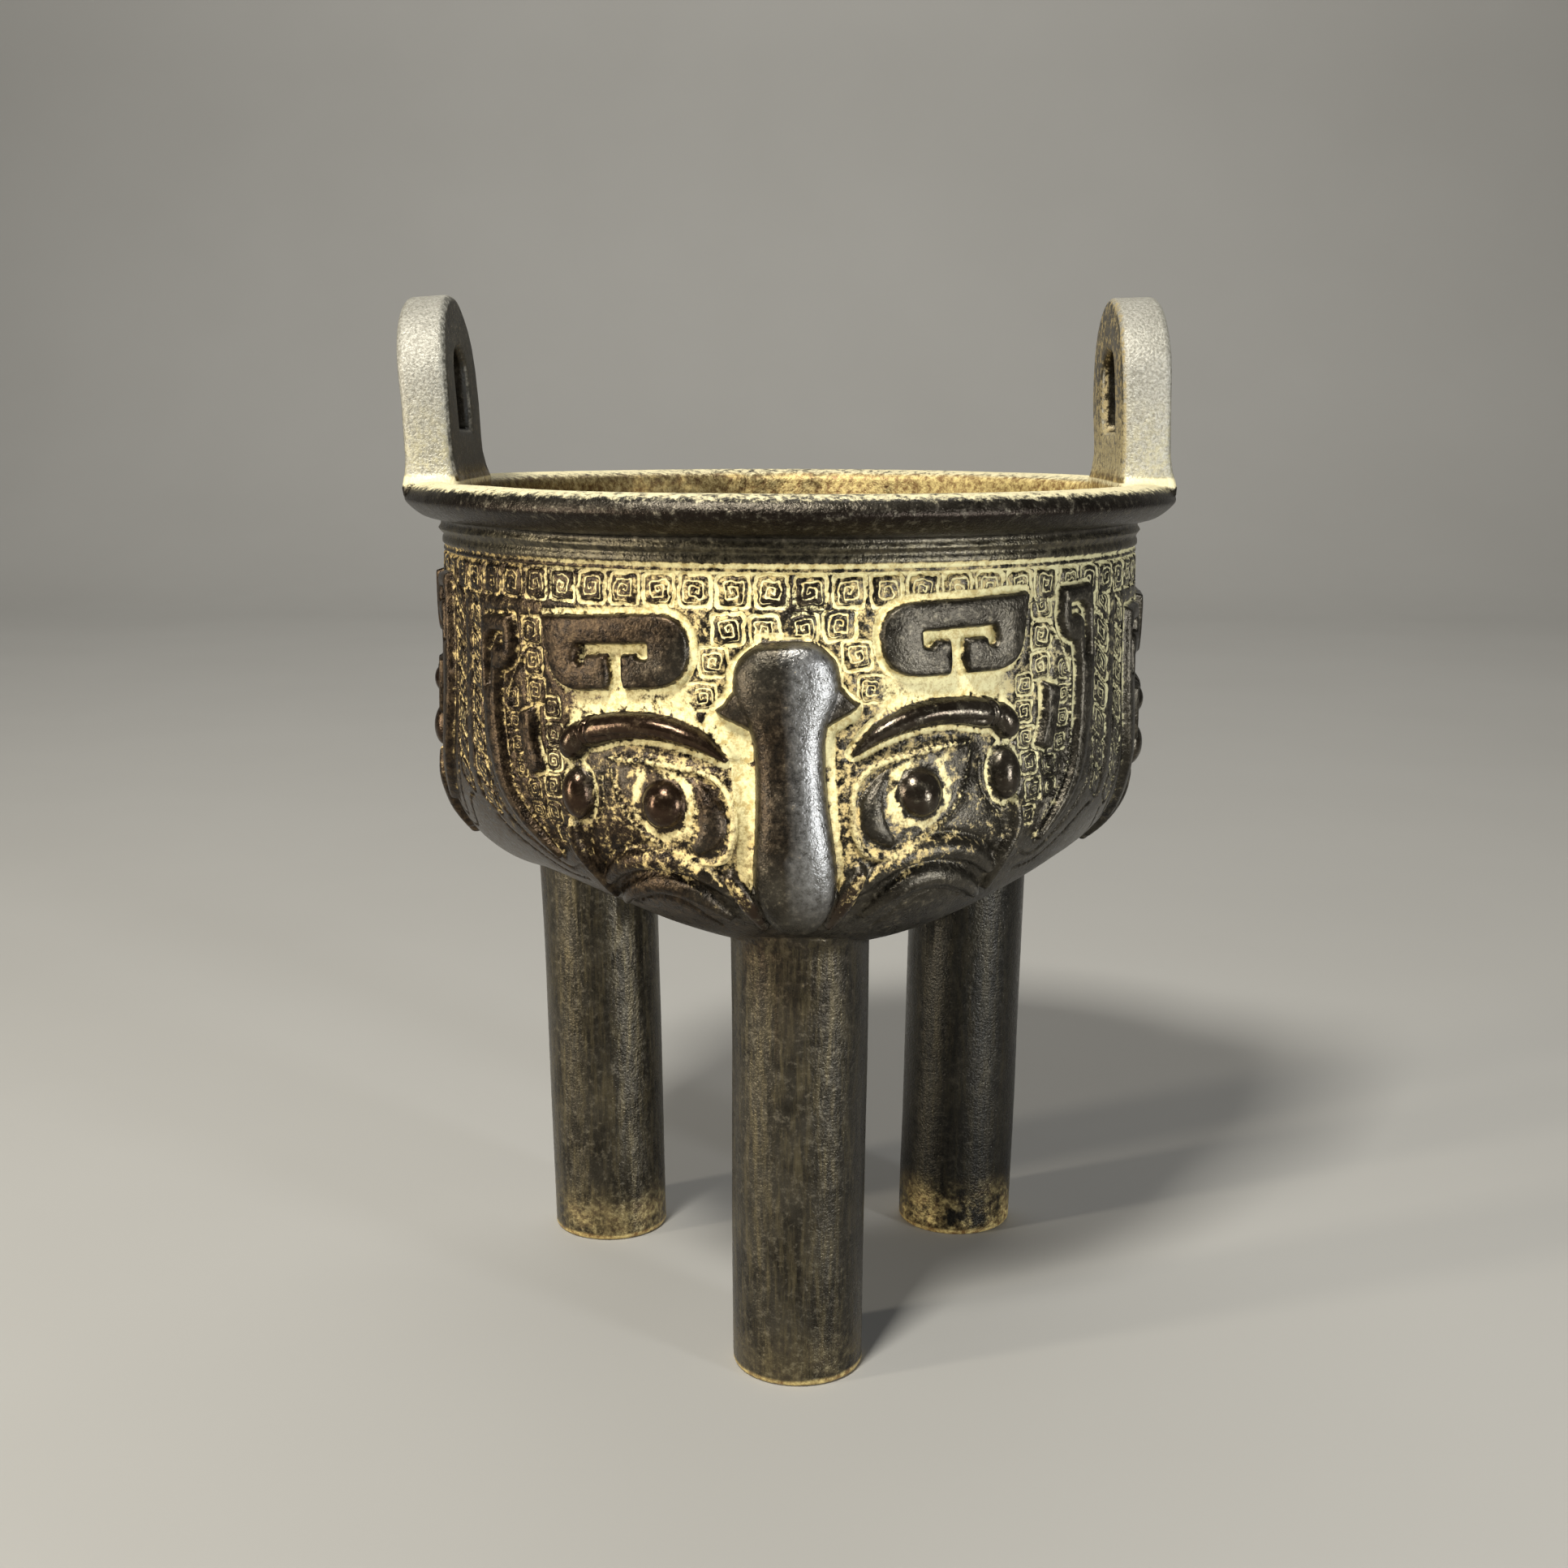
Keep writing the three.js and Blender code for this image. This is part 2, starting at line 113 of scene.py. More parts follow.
# Uneven casting: soft noise on a lattice, the same each run.
NOISE = np.random.default_rng(7).random(8192)


def noise(x, y, z, cell, seed=0):
    total = 0
    place = [np.asarray(v) / cell + 31.7 * (seed + 1) * k for v, k in ((x, 1), (y, 2), (z, 3))]
    low = [np.floor(v).astype(np.int64) for v in place]
    part = [smooth(0, 1, v - b) for v, b in zip(place, low)]
    for i in (0, 1):
        for j in (0, 1):
            for k in (0, 1):
                key = (low[0] + i) * 73856093 ^ (low[1] + j) * 19349663 ^ (low[2] + k) * 83492791
                near = [p if on else 1 - p for p, on in zip(part, (i, j, k))]
                total = total + near[0] * near[1] * near[2] * NOISE[key & (len(NOISE) - 1)]
    return total * 2 - 1


# The animal masks: relief on a grid of 64 units from a mask's middle to its side edge and 109 units down.
# Both halves are alike. Forms stand over the ground, and the thunder pattern and the lines are cut into it.
# A point of an outline is (across, down), after the control point of a curve where it has four numbers.
# A point of a bar is (across, down, half width, share of the form's height).
HALF_FIELD, FIELD, MASK_MIDDLE = 64.0, 109.0, 30.0
MASK_TILT = math.radians(2.8)
NOSE_HEIGHT, HORN_HEIGHT, HOOK_HEIGHT, BROW_HEIGHT = 3.8, 1.7, 1.4, 2.5
EYE_HEIGHT, BUMP_HEIGHT, SOCKET_HEIGHT, BAND_HEIGHT, TUSK_HEIGHT = 3.3, 2.5, 1.0, 1.8, 2.3

HORN = [
    (40.2, 6.2), (38.9, 13), (38.2, 17.4, 33.5, 17.6), (20.5, 17.2), (14.4, 17, 14.4, 11.2),
    (14.4, 6.1, 19.6, 6),
]
HORN_SLOT = [
    (21, 10.4), (33.2, 10.5), (33.8, 11.6, 33.7, 13), (33.2, 14, 32.2, 13.4), (31.8, 12.2), (28.1, 12.1),
    (27.7, 15), (27.8, 16.8, 29, 18.6), (24.7, 18.6), (25.7, 16.8, 25.7, 15), (25.5, 12.1), (23.1, 12),
    (22.8, 13, 21.9, 12.9), (21.1, 12.8),
]
HOOK = [
    (55.8, 6.4), (56.4, 18.5), (55.8, 28, 53.6, 34.5), (51, 40.5, 43.6, 46.5), (42.8, 45.4),
    (49.3, 38.4, 50.6, 33.5), (52.2, 27, 52.2, 19), (51.6, 15.2), (47.4, 14.8, 47.4, 10.4), (48, 6.4),
]
HOOK_SLOT = [
    (49.8, 9), (53, 8.9), (54.7, 10.4), (54.9, 17.6), (53.6, 17.6), (53.3, 12), (52.4, 11), (49.8, 11),
]
POST = [(43.4, 20.6), (46.6, 21.6), (46.4, 27, 44.4, 31.4), (41.8, 30.4), (43.4, 26)]

NOSE = [
    (0, 10.6, 3.4, 0.5), (0, 12, 5.8, 0.78), (0, 14, 7.5, 0.95), (0, 17, 8.1, 1), (0, 19.6, 7.8, 1),
    (0, 22.4, 6.4, 1), (0, 25.5, 5.5, 1), (0, 30, 5.3, 1), (0, 36, 5.4, 1), (0, 42, 6, 1), (0, 46.5, 6.2, 1),
    (0, 50, 5.2, 0.95), (0, 53, 3, 0.7),
]
NOSE_FLAP = [(6.5, 16.4), (8.6, 18.4), (9.6, 20, 10.9, 20.6), (10.2, 21.8, 8.6, 22.4), (6.6, 23.4), (5, 24.4)]
BROW = [(9.8, 28.1, 0.5, 0.5), (14, 25.1, 1.6, 0.85), (20, 23.2, 2, 1), (26, 23, 2.1, 1), (31.8, 24, 2.4, 1)]
BANDS = [
    [(9.6, 47.4, 1, 0.6), (15, 43.9, 1.5, 1), (22, 43.1, 1.6, 1), (28, 44.6, 1.6, 1), (32.4, 48, 1.2, 0.8)],
    [(11, 51.6, 1, 0.6), (16, 47.9, 1.5, 1), (22, 47.1, 1.6, 1), (28, 49.6, 1.4, 1), (31.6, 53, 1, 0.7)],
    [(36.6, 38.4, 0.9, 0.7), (37, 42.5, 1.3, 1), (34.4, 47.6, 1.3, 1), (33.6, 52, 0.8, 0.7)],
]
TUSK = [(5.2, 52.4, 1.1, 0.8), (7.2, 48.6, 1.8, 1), (9.6, 45, 1.2, 0.8)]
LID = [
    (28.6, 28, 0.4, 0.6), (20, 28.6, 0.6, 1), (11.5, 31, 0.6, 1), (8.8, 36.5, 0.6, 1), (10.4, 42.4, 0.6, 1),
    (16, 42.2, 0.5, 0.9), (24.8, 37.6, 0.5, 0.8), (28.4, 29.4, 0.35, 0.5),
]
CRESCENT = [(13.6, 32.4, 0.7, 0.5), (11.9, 35.4, 1.5, 1), (12, 38.6, 1.7, 1), (14.2, 41, 0.8, 0.5)]
BROW_GROOVE = [(12.5, 27, 0.3, 0.6), (20, 24.6, 0.35, 1), (26, 24.3, 0.35, 1), (30.6, 24.8, 0.35, 1)]
BROW_RING = [(31.4, 21.6, 0.4, 1), (32.2, 24.2, 0.45, 1), (31.4, 27, 0.4, 1)]
BUMPS = [
    (19.4, 34.6, 3.6, 3.7, EYE_HEIGHT, 0),
    (35, 25.6, 2.3, 3.2, BUMP_HEIGHT, -35),
    (34.8, 33.8, 2.8, 4.1, BUMP_HEIGHT, 0),
]
INNER_LINE = [
    (45.8, 12.5, 0.4, 1), (48.6, 16.8, 0.4, 1), (50, 21.9, 0.4, 1), (49.5, 34, 0.4, 1), (44.2, 41.3, 0.4, 1),
    (42.6, 45.5, 0.4, 1),
]
CUT_LINES = [
    [(45.2, 22.6, 0.35, 1), (44.9, 26, 0.35, 1), (43.8, 29.4, 0.3, 1)],
    [
        (11, 45.4, 0.3, 1), (15, 41.7, 0.35, 1), (22, 40.9, 0.35, 1), (29, 42.6, 0.35, 1),
        (33.6, 46.4, 0.3, 1),
    ],
    [(12, 49.3, 0.3, 1), (17, 45.6, 0.3, 1), (22, 45.1, 0.3, 1), (28, 47.1, 0.3, 1), (32, 51, 0.3, 1)],
    [(13, 55, 0.35, 1), (18, 50.6, 0.35, 1), (23, 50.1, 0.35, 1), (28, 52.6, 0.35, 1)],
    [(30.4, 31, 0.4, 1), (30.6, 36, 0.4, 1), (33.6, 40, 0.35, 1), (34.8, 44, 0.3, 1)],
    [(39.4, 47.5, 0.4, 1), (44.6, 49.4, 0.35, 1), (51, 44.6, 0.4, 1), (56, 38.6, 0.4, 1), (58, 30, 0.35, 1)],
    [(40.5, 51.5, 0.35, 1), (47, 51.6, 0.35, 1), (54.2, 46.8, 0.35, 1), (60, 42, 0.35, 1)],
]

ROW_STEP, ROW_DOWN, ROW_HALF = 64.0 / 11, 3.35, 2.45
SQUARES = [
    (2.9, 8.9, 2.2), (8.4, 8.6, 2.4), (10.9, 13.4, 2.2), (12.9, 18.6, 2.1),
    (43.8, 8.6, 2.2), (43.6, 13.4, 2.2), (43.2, 18.1, 2.1), (39.7, 20.6, 1.7), (39.4, 24.8, 1.7),
    (39.8, 28.9, 1.7), (40.3, 33, 1.8), (44.8, 33.9, 1.5), (41, 37.4, 1.7), (45, 37.6, 1.4),
    (39.9, 41.4, 1.6),
    (49.2, 19.3, 1.5), (48.6, 23.2, 1.4), (48.3, 27, 1.3), (47.6, 30.8, 1.3),
    (60.3, 8.6, 2.2), (60.3, 13.5, 2.2), (60.3, 18.4, 2.2), (60.3, 23.3, 2.2), (60.3, 28.2, 2.2),
    (60.2, 33.1, 2.2), (60.1, 38, 2.2),
]


def spline(points, steps):
    p = np.array([points[0], *points, points[-1]], float)
    t = np.linspace(0, 1, steps, endpoint=False)[:, None]
    parts = []
    for a, b, c, d in zip(p[:-3], p[1:-2], p[2:-1], p[3:]):
        curve = 2 * b + (c - a) * t + (2 * a - 5 * b + 4 * c - d) * t**2 + (3 * b - a - 3 * c + d) * t**3
        parts.append(curve / 2)
    return np.concatenate([*parts, p[-1:]])


def outline(corners, steps=6):
    points = [np.array(corners[0][:2], float)]
    for corner in corners[1:]:
        end = np.array(corner[-2:], float)
        if len(corner) == 4:
            control = np.array(corner[:2], float)
            for t in np.linspace(0, 1, steps + 1)[1:]:
                points.append((1 - t) ** 2 * start + 2 * t * (1 - t) * control + t**2 * end)
        else:
            points.append(end)
        start = end
    return points


def slab(x, y, corners):
    """Distance inside an outline, less than nothing outside it."""
    points = outline(corners)
    nearest = np.full(x.shape, 1e6)
    inside = np.zeros(x.shape, bool)
    for (ax, ay), (bx, by) in zip(points, points[1:] + points[:1]):
        ex, ey = bx - ax, by - ay
        t = np.clip(((x - ax) * ex + (y - ay) * ey) / (ex * ex + ey * ey), 0, 1)
        nearest = np.minimum(nearest, (x - ax - t * ex) ** 2 + (y - ay - t * ey) ** 2)
        crosses = (ay > y) != (by > y)
        inside ^= crosses & (x < ax + (y - ay) * ex / (ey if ey else 1))
    return np.sqrt(nearest) * np.where(inside, 1, -1)


def bar(x, y, path, steps=10):
    """Rounded height (0 to 1) and distance inside a bar along a path."""
    height = np.zeros(x.shape)
    inside = np.full(x.shape, -1e6)
    for across, down, half, share in spline(path, steps):
        d2 = (x - across) ** 2 + (y - down) ** 2
        height = np.maximum(height, share * np.sqrt(np.clip(1 - d2 / half**2, 0, 1)))
        inside = np.maximum(inside, half - np.sqrt(d2))
    return height, inside


def ridge(x, y, path, flatness):
    """Rounded height (0 to 1) and distance inside an upright ridge with square ends."""
    line = spline(path, 8)
    half = np.interp(y, line[:, 1], line[:, 2])
    ends = np.minimum(y - path[0][1], path[-1][1] - y)
    height = np.interp(y, line[:, 1], line[:, 3]) * np.sqrt(1 - np.clip(x / half, 0, 1) ** flatness)
    return height * smooth(0, 1, ends), np.minimum(half - x, ends)


def bump(x, y, across, down, half_width, half_length, turn):
    c, s = math.cos(math.radians(turn)), math.sin(math.radians(turn))
    u, v = x - across, y - down
    q = np.sqrt(((u * c + v * s) / half_width) ** 2 + ((v * c - u * s) / half_length) ** 2)
    return np.sqrt(np.clip(1 - q * q, 0, 1)), (1 - q) * min(half_width, half_length)


def untilted(across, down):
    fade = 1 - smooth(57, 63, np.abs(across))
    c, s = np.cos(MASK_TILT * fade), np.sin(MASK_TILT * fade)
    return across * c - (down - MASK_MIDDLE) * s, (down - MASK_MIDDLE) * c + across * s + MASK_MIDDLE


def nearest_square(across, down):
    """Middle, half size and hand of the thunder square at a place, with the row under the border apart."""
    x, y = untilted(across, down)
    row = down < 6.1
    step = np.floor(np.abs(across) / ROW_STEP)
    found = [
        (step + 0.5) * ROW_STEP, np.full(x.shape, ROW_DOWN), np.full(x.shape, ROW_HALF), 1 - 2 * (step % 2),
    ]
    best = np.where(row, -1, 1e6)
    for i, (u, v, half) in enumerate(SQUARES):
        far = np.maximum(np.abs(np.abs(x) - u), np.abs(y - v)) - half
        nearer = far < best
        best = np.where(nearer, far, best)
        for column, value in zip(found, (u, v, half, 1 - 2 * (i % 2))):
            column[nearer] = value
    return row, found


def in_square(across, down, row, found, sign):
    x, y = untilted(across, down)
    u = np.where(row, across, x) * sign - found[0]
    v = np.where(row, down, y) - found[1]
    return u / found[2] * found[3], v / found[2]


def thunder(u, v):
    """Groove (0 to 1) round a thunder square from -1 to 1, with the pit at its middle."""
    d = (np.abs(u) ** 6 + np.abs(v) ** 6) ** (1 / 6)
    return np.where(d < 1.12, np.maximum(smooth(0.8, 0.9, d), 0.5 * smooth(0.4, 0.1, d)), 0)


def relief(across, down):
    """Height over the ground, and from 0 to 1: pale earth, thunder squares, the nose's painted highlight on
    its right half, and gloss.
    """
    x, y = untilted(across, down)
    side = np.where(x < 0, 1.2, 0.5)
    x = np.abs(x)
    horn = np.minimum(slab(x, y, HORN), -slab(x, y, HORN_SLOT))
    hook = np.minimum(slab(x, y, HOOK), -slab(x, y, HOOK_SLOT))
    post = slab(x, y, POST)
    flap = slab(x, y, NOSE_FLAP)
    nose, nose_in = ridge(x, y, NOSE, 3.2)
    brow, brow_in = bar(x, y, BROW)
    tusk, tusk_in = bar(x, y, TUSK)
    lid, lid_in = bar(x, y, LID)
    crescent, crescent_in = bar(x, y, CRESCENT)
    bands = [bar(x, y, path)[0] for path in BANDS]
    bumps = [(bump(x, y, *b[:4], b[5]), b[4]) for b in BUMPS]
    mound = bump(x, y, 18.9, 35.1, 11.6, 6, -36)[0]

    row, found = nearest_square(across, down)
    groove = thunder(*in_square(across, down, row, found, np.where(across < 0, -1, 1)))
    squares = smooth(47, 43, y)
    ground = -0.25 * groove * squares

    beside_nose = side * (0.9 + 2 * smooth(20, 24, y) - 0.9 * smooth(30, 44, y))
    channel = np.maximum.reduce([
        smooth(-1.3, -1, horn), smooth(-0.9, -0.6, hook), smooth(-1, -0.7, post),
        smooth(-0.3, 0.1, np.maximum(nose_in, flap) + beside_nose),
        smooth(-1.1, -0.8, brow_in), smooth(-0.9, -0.6, bumps[1][0][1]), smooth(-1, -0.7, bumps[2][0][1]),
    ])
    under_horn = smooth(16.4, 17.4, y) * smooth(26, 25, y - 0.012 * (x - 24) ** 2)
    under_horn = under_horn * smooth(13, 15, x) * smooth(38, 35, x)
    over_brow = smooth(-3, -1.6, brow_in)
    slot = (np.abs(x - 27.4) < 7.5) & (y > 9) & (y < 17)
    channel = np.maximum.reduce([channel, under_horn * mix(0.72, 1, over_brow), slot * 1.0])
    ground = mix(ground, -0.3, channel)

    inner = bar(x, y, INNER_LINE)[0]
    cuts = np.zeros(x.shape)
    for path in CUT_LINES:
        cuts = np.maximum(cuts, bar(x, y, path)[0])
    border = np.maximum(smooth(0.35, 0.1, np.abs(down - 0.75)), smooth(0.5, 0.2, np.abs(down + 0.35)))
    ground = ground - 0.35 * cuts - 0.3 * border * (1 - channel)
    pale = np.maximum.reduce([channel, cuts * 0.75, border, inner])

    form = mound * SOCKET_HEIGHT
    face = smooth(0.15, 0.5, mound)
    ground = mix(ground, 0, face)
    pale = pale * (1 - 0.3 * face)
    form = form + 0.9 * lid * smooth(0, 0.2, lid_in + 0.6) + 0.8 * crescent
    form = np.maximum(form, (HORN_HEIGHT - 0.25) * smooth(-0.35, 0.4, horn) + 0.25 * smooth(0.3, 3, horn))
    form = np.maximum(form, (HOOK_HEIGHT - 0.2) * smooth(-0.3, 0.4, hook) + 0.2 * smooth(0.3, 1.5, hook))
    form = np.maximum(form, HOOK_HEIGHT * 0.9 * smooth(-0.3, 0.4, post))
    form = np.maximum(form, HORN_HEIGHT * smooth(-0.4, 0.8, flap))
    form = np.maximum(form, 0.5 * inner)
    for height, top in [(nose, NOSE_HEIGHT), (brow, BROW_HEIGHT), (tusk, TUSK_HEIGHT)]:
        form = np.maximum(form, height * top)
    for height in bands:
        form = np.maximum(form, height * BAND_HEIGHT)
    for (height, inside), top in bumps:
        form = np.maximum(form, height * top)
    brow_cut = bar(x, y, BROW_GROOVE)[0] * 0.45 + bar(x, y, BROW_RING)[0] * 0.5
    form = form - brow_cut

    solid = np.maximum.reduce([
        horn, hook, post, flap, nose_in, brow_in, tusk_in, crescent_in, *[b[0][1] for b in bumps],
    ])
    off = 1 - smooth(-0.25, 0.1, solid)
    pale = pale * off
    eye_ring = smooth(-1.5, -1.2, bumps[0][0][1]) * smooth(0.1, -0.3, bumps[0][0][1])
    pale = np.maximum(pale, eye_ring * smooth(-0.2, -0.5, crescent_in))
    pale = np.maximum(pale, 0.7 * smooth(-0.2, 0.2, lid_in) * off)
    low = smooth(52, 44, y)
    under_brow = smooth(22, 25, y) * smooth(43, 38, y) * smooth(34, 30, x)
    thin = np.maximum.reduce([0.5 * squares, 0.5 * under_brow, 0.42 * smooth(0.02, 0.3, mound)])
    pale = np.maximum(pale, np.maximum(0.22, thin) * off * smooth(54, 42, y))
    pale = np.maximum(pale, 0.55 * smooth(0, 0.5, tusk_in) * (1 - smooth(-0.25, 0.1, nose_in)))
    squares = squares * off * (1 - channel) * (1 - face) * (1 - smooth(0, 0.3, form))
    # Painted highlight: the right half of the nose, where the highlight falls, is marked for lighter, more
    # reflective metal.
    nose_highlight = smooth(0, 1.2, nose_in) * smooth(-1, 2, x * np.sign(across)) * smooth(51, 43, y)
    height = np.where(form > 0.03, np.maximum(form, 0) + np.minimum(ground, 0) * (form < 0.3), ground)
    gloss = smooth(0, 0.6, np.maximum.reduce([brow_in, tusk_in, *[b[0][1] for b in bumps]]))
    return height, np.clip(pale, 0, 1) * mix(0.25, 1, low), squares, nose_highlight, gloss


# The dense outside, from the middle of the underside up over the lip and down inside.
# Rows lie at lengths along the outside, fine where the relief is and coarse under the bowl and inside it.
COLUMNS, UNDERSIDE_ROWS, INSIDE_ROWS = 1284, 30, 44
FINE_START, FINE_END, FINE_STEP = 62.2, -4.3, 0.3
MOUTH = NECK_RADIUS - WALL
rows_out = np.concatenate([
    np.linspace(LENGTH, FINE_START + FINE_STEP, UNDERSIDE_ROWS),
    np.arange(FINE_START, FINE_END, -FINE_STEP),
])
lip_turn = spline(
    [(mix(NECK_RADIUS, LIP_RADIUS, out), RIM - LIP_HEIGHT * (1 - up)) for out, up in LIP_PROFILE]
    + [(MOUTH + MOUTH_FLARE, RIM - MOUTH_DEPTH), (MOUTH + 0.4, RIM - 3.4), (MOUTH, RIM - LIP_HEIGHT)],
    5,
)
rows_in = np.linspace(0, LENGTH, INSIDE_ROWS)
row_count = len(rows_out) + len(lip_turn) + len(rows_in)


def mesh_object(name, bm):
    mesh = bpy.data.meshes.new(name)
    bm.to_mesh(mesh)
    bm.free()
    made = bpy.data.objects.new(name, mesh)
    bpy.context.scene.collection.objects.link(made)
    return made


def make_bowl():
    bm = bmesh.new()
    bmesh.ops.create_grid(bm, x_segments=COLUMNS, y_segments=row_count - 1, size=1)
    flat = np.array([v.co[:2] for v in bm.verts])
    column = np.rint((flat[:, 0] + 1) / 2 * COLUMNS).astype(int)
    line = np.rint((flat[:, 1] + 1) / 2 * (row_count - 1)).astype(int)
    turn_step = 2 * math.pi / COLUMNS
    sector = COLUMNS // LEGS
    azimuth = np.arange(COLUMNS) * turn_step
    across = ((np.arange(sector) / sector + 0.5) % 1 - 0.5) * 2 * HALF_FIELD
    A, D = np.meshgrid(across, rows_out / LENGTH * FIELD)
    height = np.tile(relief(A, D)[0], (1, LEGS)) * smooth(62, 57, rows_out)[:, None]

    AZ, S = np.meshgrid(azimuth, rows_out)
    ring = 0.45 * np.exp(-((S + 3.2) / 0.4) ** 2) - 0.25 * np.exp(-((S + 2.1) / 0.35) ** 2)
    r_out, z_out = on_bowl(AZ, S, height + ring)
    r_lip, z_lip = [np.repeat(lip_turn[:, k:k + 1], COLUMNS, axis=1) for k in (0, 1)]
    AZ, S = np.meshgrid(azimuth, rows_in)
    r_in, z_in = on_bowl(AZ, S, -WALL)
    r = np.concatenate([r_out, r_lip, r_in])
    z = np.concatenate([z_out, z_lip, z_in])
    turn = np.broadcast_to(azimuth + MASK_TURN - math.pi / 2, r.shape)
    x, y = np.cos(turn) * r, np.sin(turn) * r
    uneven = 0.16 * noise(x, y, z, 11, 1) + 0.05 * noise(x, y, z, 3.1, 2)
    lip_rows = np.zeros((row_count, 1))
    lip_rows[len(rows_out) - 6:len(rows_out) + len(lip_turn)] = 1
    uneven = uneven + lip_rows * 0.22 * noise(x, y, z * 0.3, 16, 3)
    r_even = np.where(r > 0.5, r + uneven * np.minimum(r / 10, 1), 0)
    z = z + lip_rows * 0.18 * noise(x, y, z * 0, 19, 4)
    x, y = np.cos(turn) * r_even, np.sin(turn) * r_even
    places = np.stack([x, y, z], -1)[line, column % COLUMNS] * MM
    bowl = mesh_object("bowl", bm)
    bowl.data.vertices.foreach_set("co", places.ravel())
    bm = bmesh.new()
    bm.from_mesh(bowl.data)
    bmesh.ops.remove_doubles(bm, verts=bm.verts, dist=1e-6)
    bmesh.ops.recalc_face_normals(bm, faces=bm.faces)
    bm.to_mesh(bowl.data)
    bm.free()
    return bowl


bowl = make_bowl()


# The legs: three round bars of the same bronze, each a little thicker at its top and left a little uneven.
# They are cast with the bowl, and their tops end inside its wall.
LEG_TOP, FOOT, FOOT_EDGE = 11.3, 11.0, 0.7
LEG_REACH, FOOT_REACH = WALL_FOOT - 19.6, WALL_FOOT - 21.6
LEG_ROOT, LEG_FIT = 5.4, 3.0


def wall_height(x, y, depth):
    """Height, over a place under the bowl, of the surface that lies this deep inside its outside."""
    azimuth = np.arctan2(y, x) + math.pi / 2 - MASK_TURN
    S, A = np.meshgrid(np.linspace(WALL_DROP, LENGTH, 160), azimuth)
    r, z = on_bowl(A, S, -depth)
    lines = zip(np.hypot(x, y), r, z)
    return np.array([np.interp(at, line_r[::-1], line_z[::-1]) for at, line_r, line_z in lines])


def make_leg(index):
    top = LEG_LENGTH + LEG_ROOT
    profile = [(0, 0), (FOOT * 0.5, 0), (FOOT - FOOT_EDGE, 0), (FOOT - 0.25, 0.25), (FOOT, FOOT_EDGE)]
    for z in np.linspace(2, top, 52):
        collar = 0.7 * math.exp(-((z - LEG_LENGTH - 0.5) / 2.4) ** 2)
        profile.append((mix(FOOT, LEG_TOP, z / top) + collar, z))
    profile += [(LEG_TOP * 0.5, top), (0, top)]
    bm = bmesh.new()
    chain = [bm.verts.new((r, 0, z)) for r, z in profile]
    for a, b in zip(chain, chain[1:]):
        bm.edges.new((a, b))
    bmesh.ops.spin(
        bm, geom=bm.verts[:] + bm.edges[:], axis=(0, 0, 1), cent=(0, 0, 0), angle=2 * math.pi, steps=96,
        use_merge=True,
    )
    bmesh.ops.remove_doubles(bm, verts=bm.verts, dist=1e-4)
    bmesh.ops.recalc_face_normals(bm, faces=bm.faces)
    turn = LEG_TURN - math.pi / 2 + index * 2 * math.pi / LEGS
    leg = mesh_object(f"leg_{index}", bm)
    places = np.empty(len(leg.data.vertices) * 3)
    leg.data.vertices.foreach_get("co", places)
    x, y, z = places.reshape(-1, 3).T
    r, a = np.hypot(x, y), np.arctan2(y, x)
    rough = 0.14 * noise(x, y, z * 0.35 + 90 * index, 6, 5) + 0.2 * noise(x, y, z * 0.5 + 90 * index, 22, 6)
    r = r + rough * smooth(0.5, 9, r) * smooth(0, 2, z)
    x = r * np.cos(a) + mix(FOOT_REACH, LEG_REACH, z / LEG_LENGTH)
    y = r * np.sin(a)
    x, y = x * math.cos(turn) - y * math.sin(turn), x * math.sin(turn) + y * math.cos(turn)
    start = LEG_LENGTH - LEG_FIT
    fitted = start + (z - start) / (top - start) * (wall_height(x, y, WALL / 2) - start)
    z = np.where(z > start, fitted, z)
    leg.data.vertices.foreach_set("co", (np.stack([x, y, z], -1) * MM).ravel())
    return leg


legs = [make_leg(index) for index in range(LEGS)]


# The handles: two upright loops of square bronze bar with arched tops and softened edges.
# They are cast with the lip and flare a little round their feet.
HANDLE_RISE, HANDLE_REACH, HANDLE_ROOT = 31.6, NECK_RADIUS - 0.6, 3.3
HANDLE_THICK, HANDLE_BASE, HANDLE_TOP = 8.2, 35.0, 33.8
HANDLE_ARCH, HANDLE_BAR, HANDLE_CROWN, HANDLE_SILL, HANDLE_EDGE = 14.5, 10.5, 9.2, 8.5, 1.3
HANDLE_LEAN = {1: -1.5, -1: 4.0}


def handle_outline(half_base, half_top, arch, bottom, arch_foot):
    rising = np.linspace(0, 1, 8, endpoint=False)
    side = [(mix(half_base, half_top, t), mix(bottom, arch_foot, t)) for t in rising]
    curve = [(half_top * math.cos(a), arch_foot + arch * math.sin(a)) for a in np.linspace(0, math.pi, 25)]
    other = [(-mix(half_top, half_base, t), mix(arch_foot, bottom, t)) for t in np.linspace(0, 1, 9)[1:]]
    under = [(mix(-half_base, half_base, t), bottom) for t in np.linspace(0, 1, 9)[1:-1]]
    return side + curve + other + under


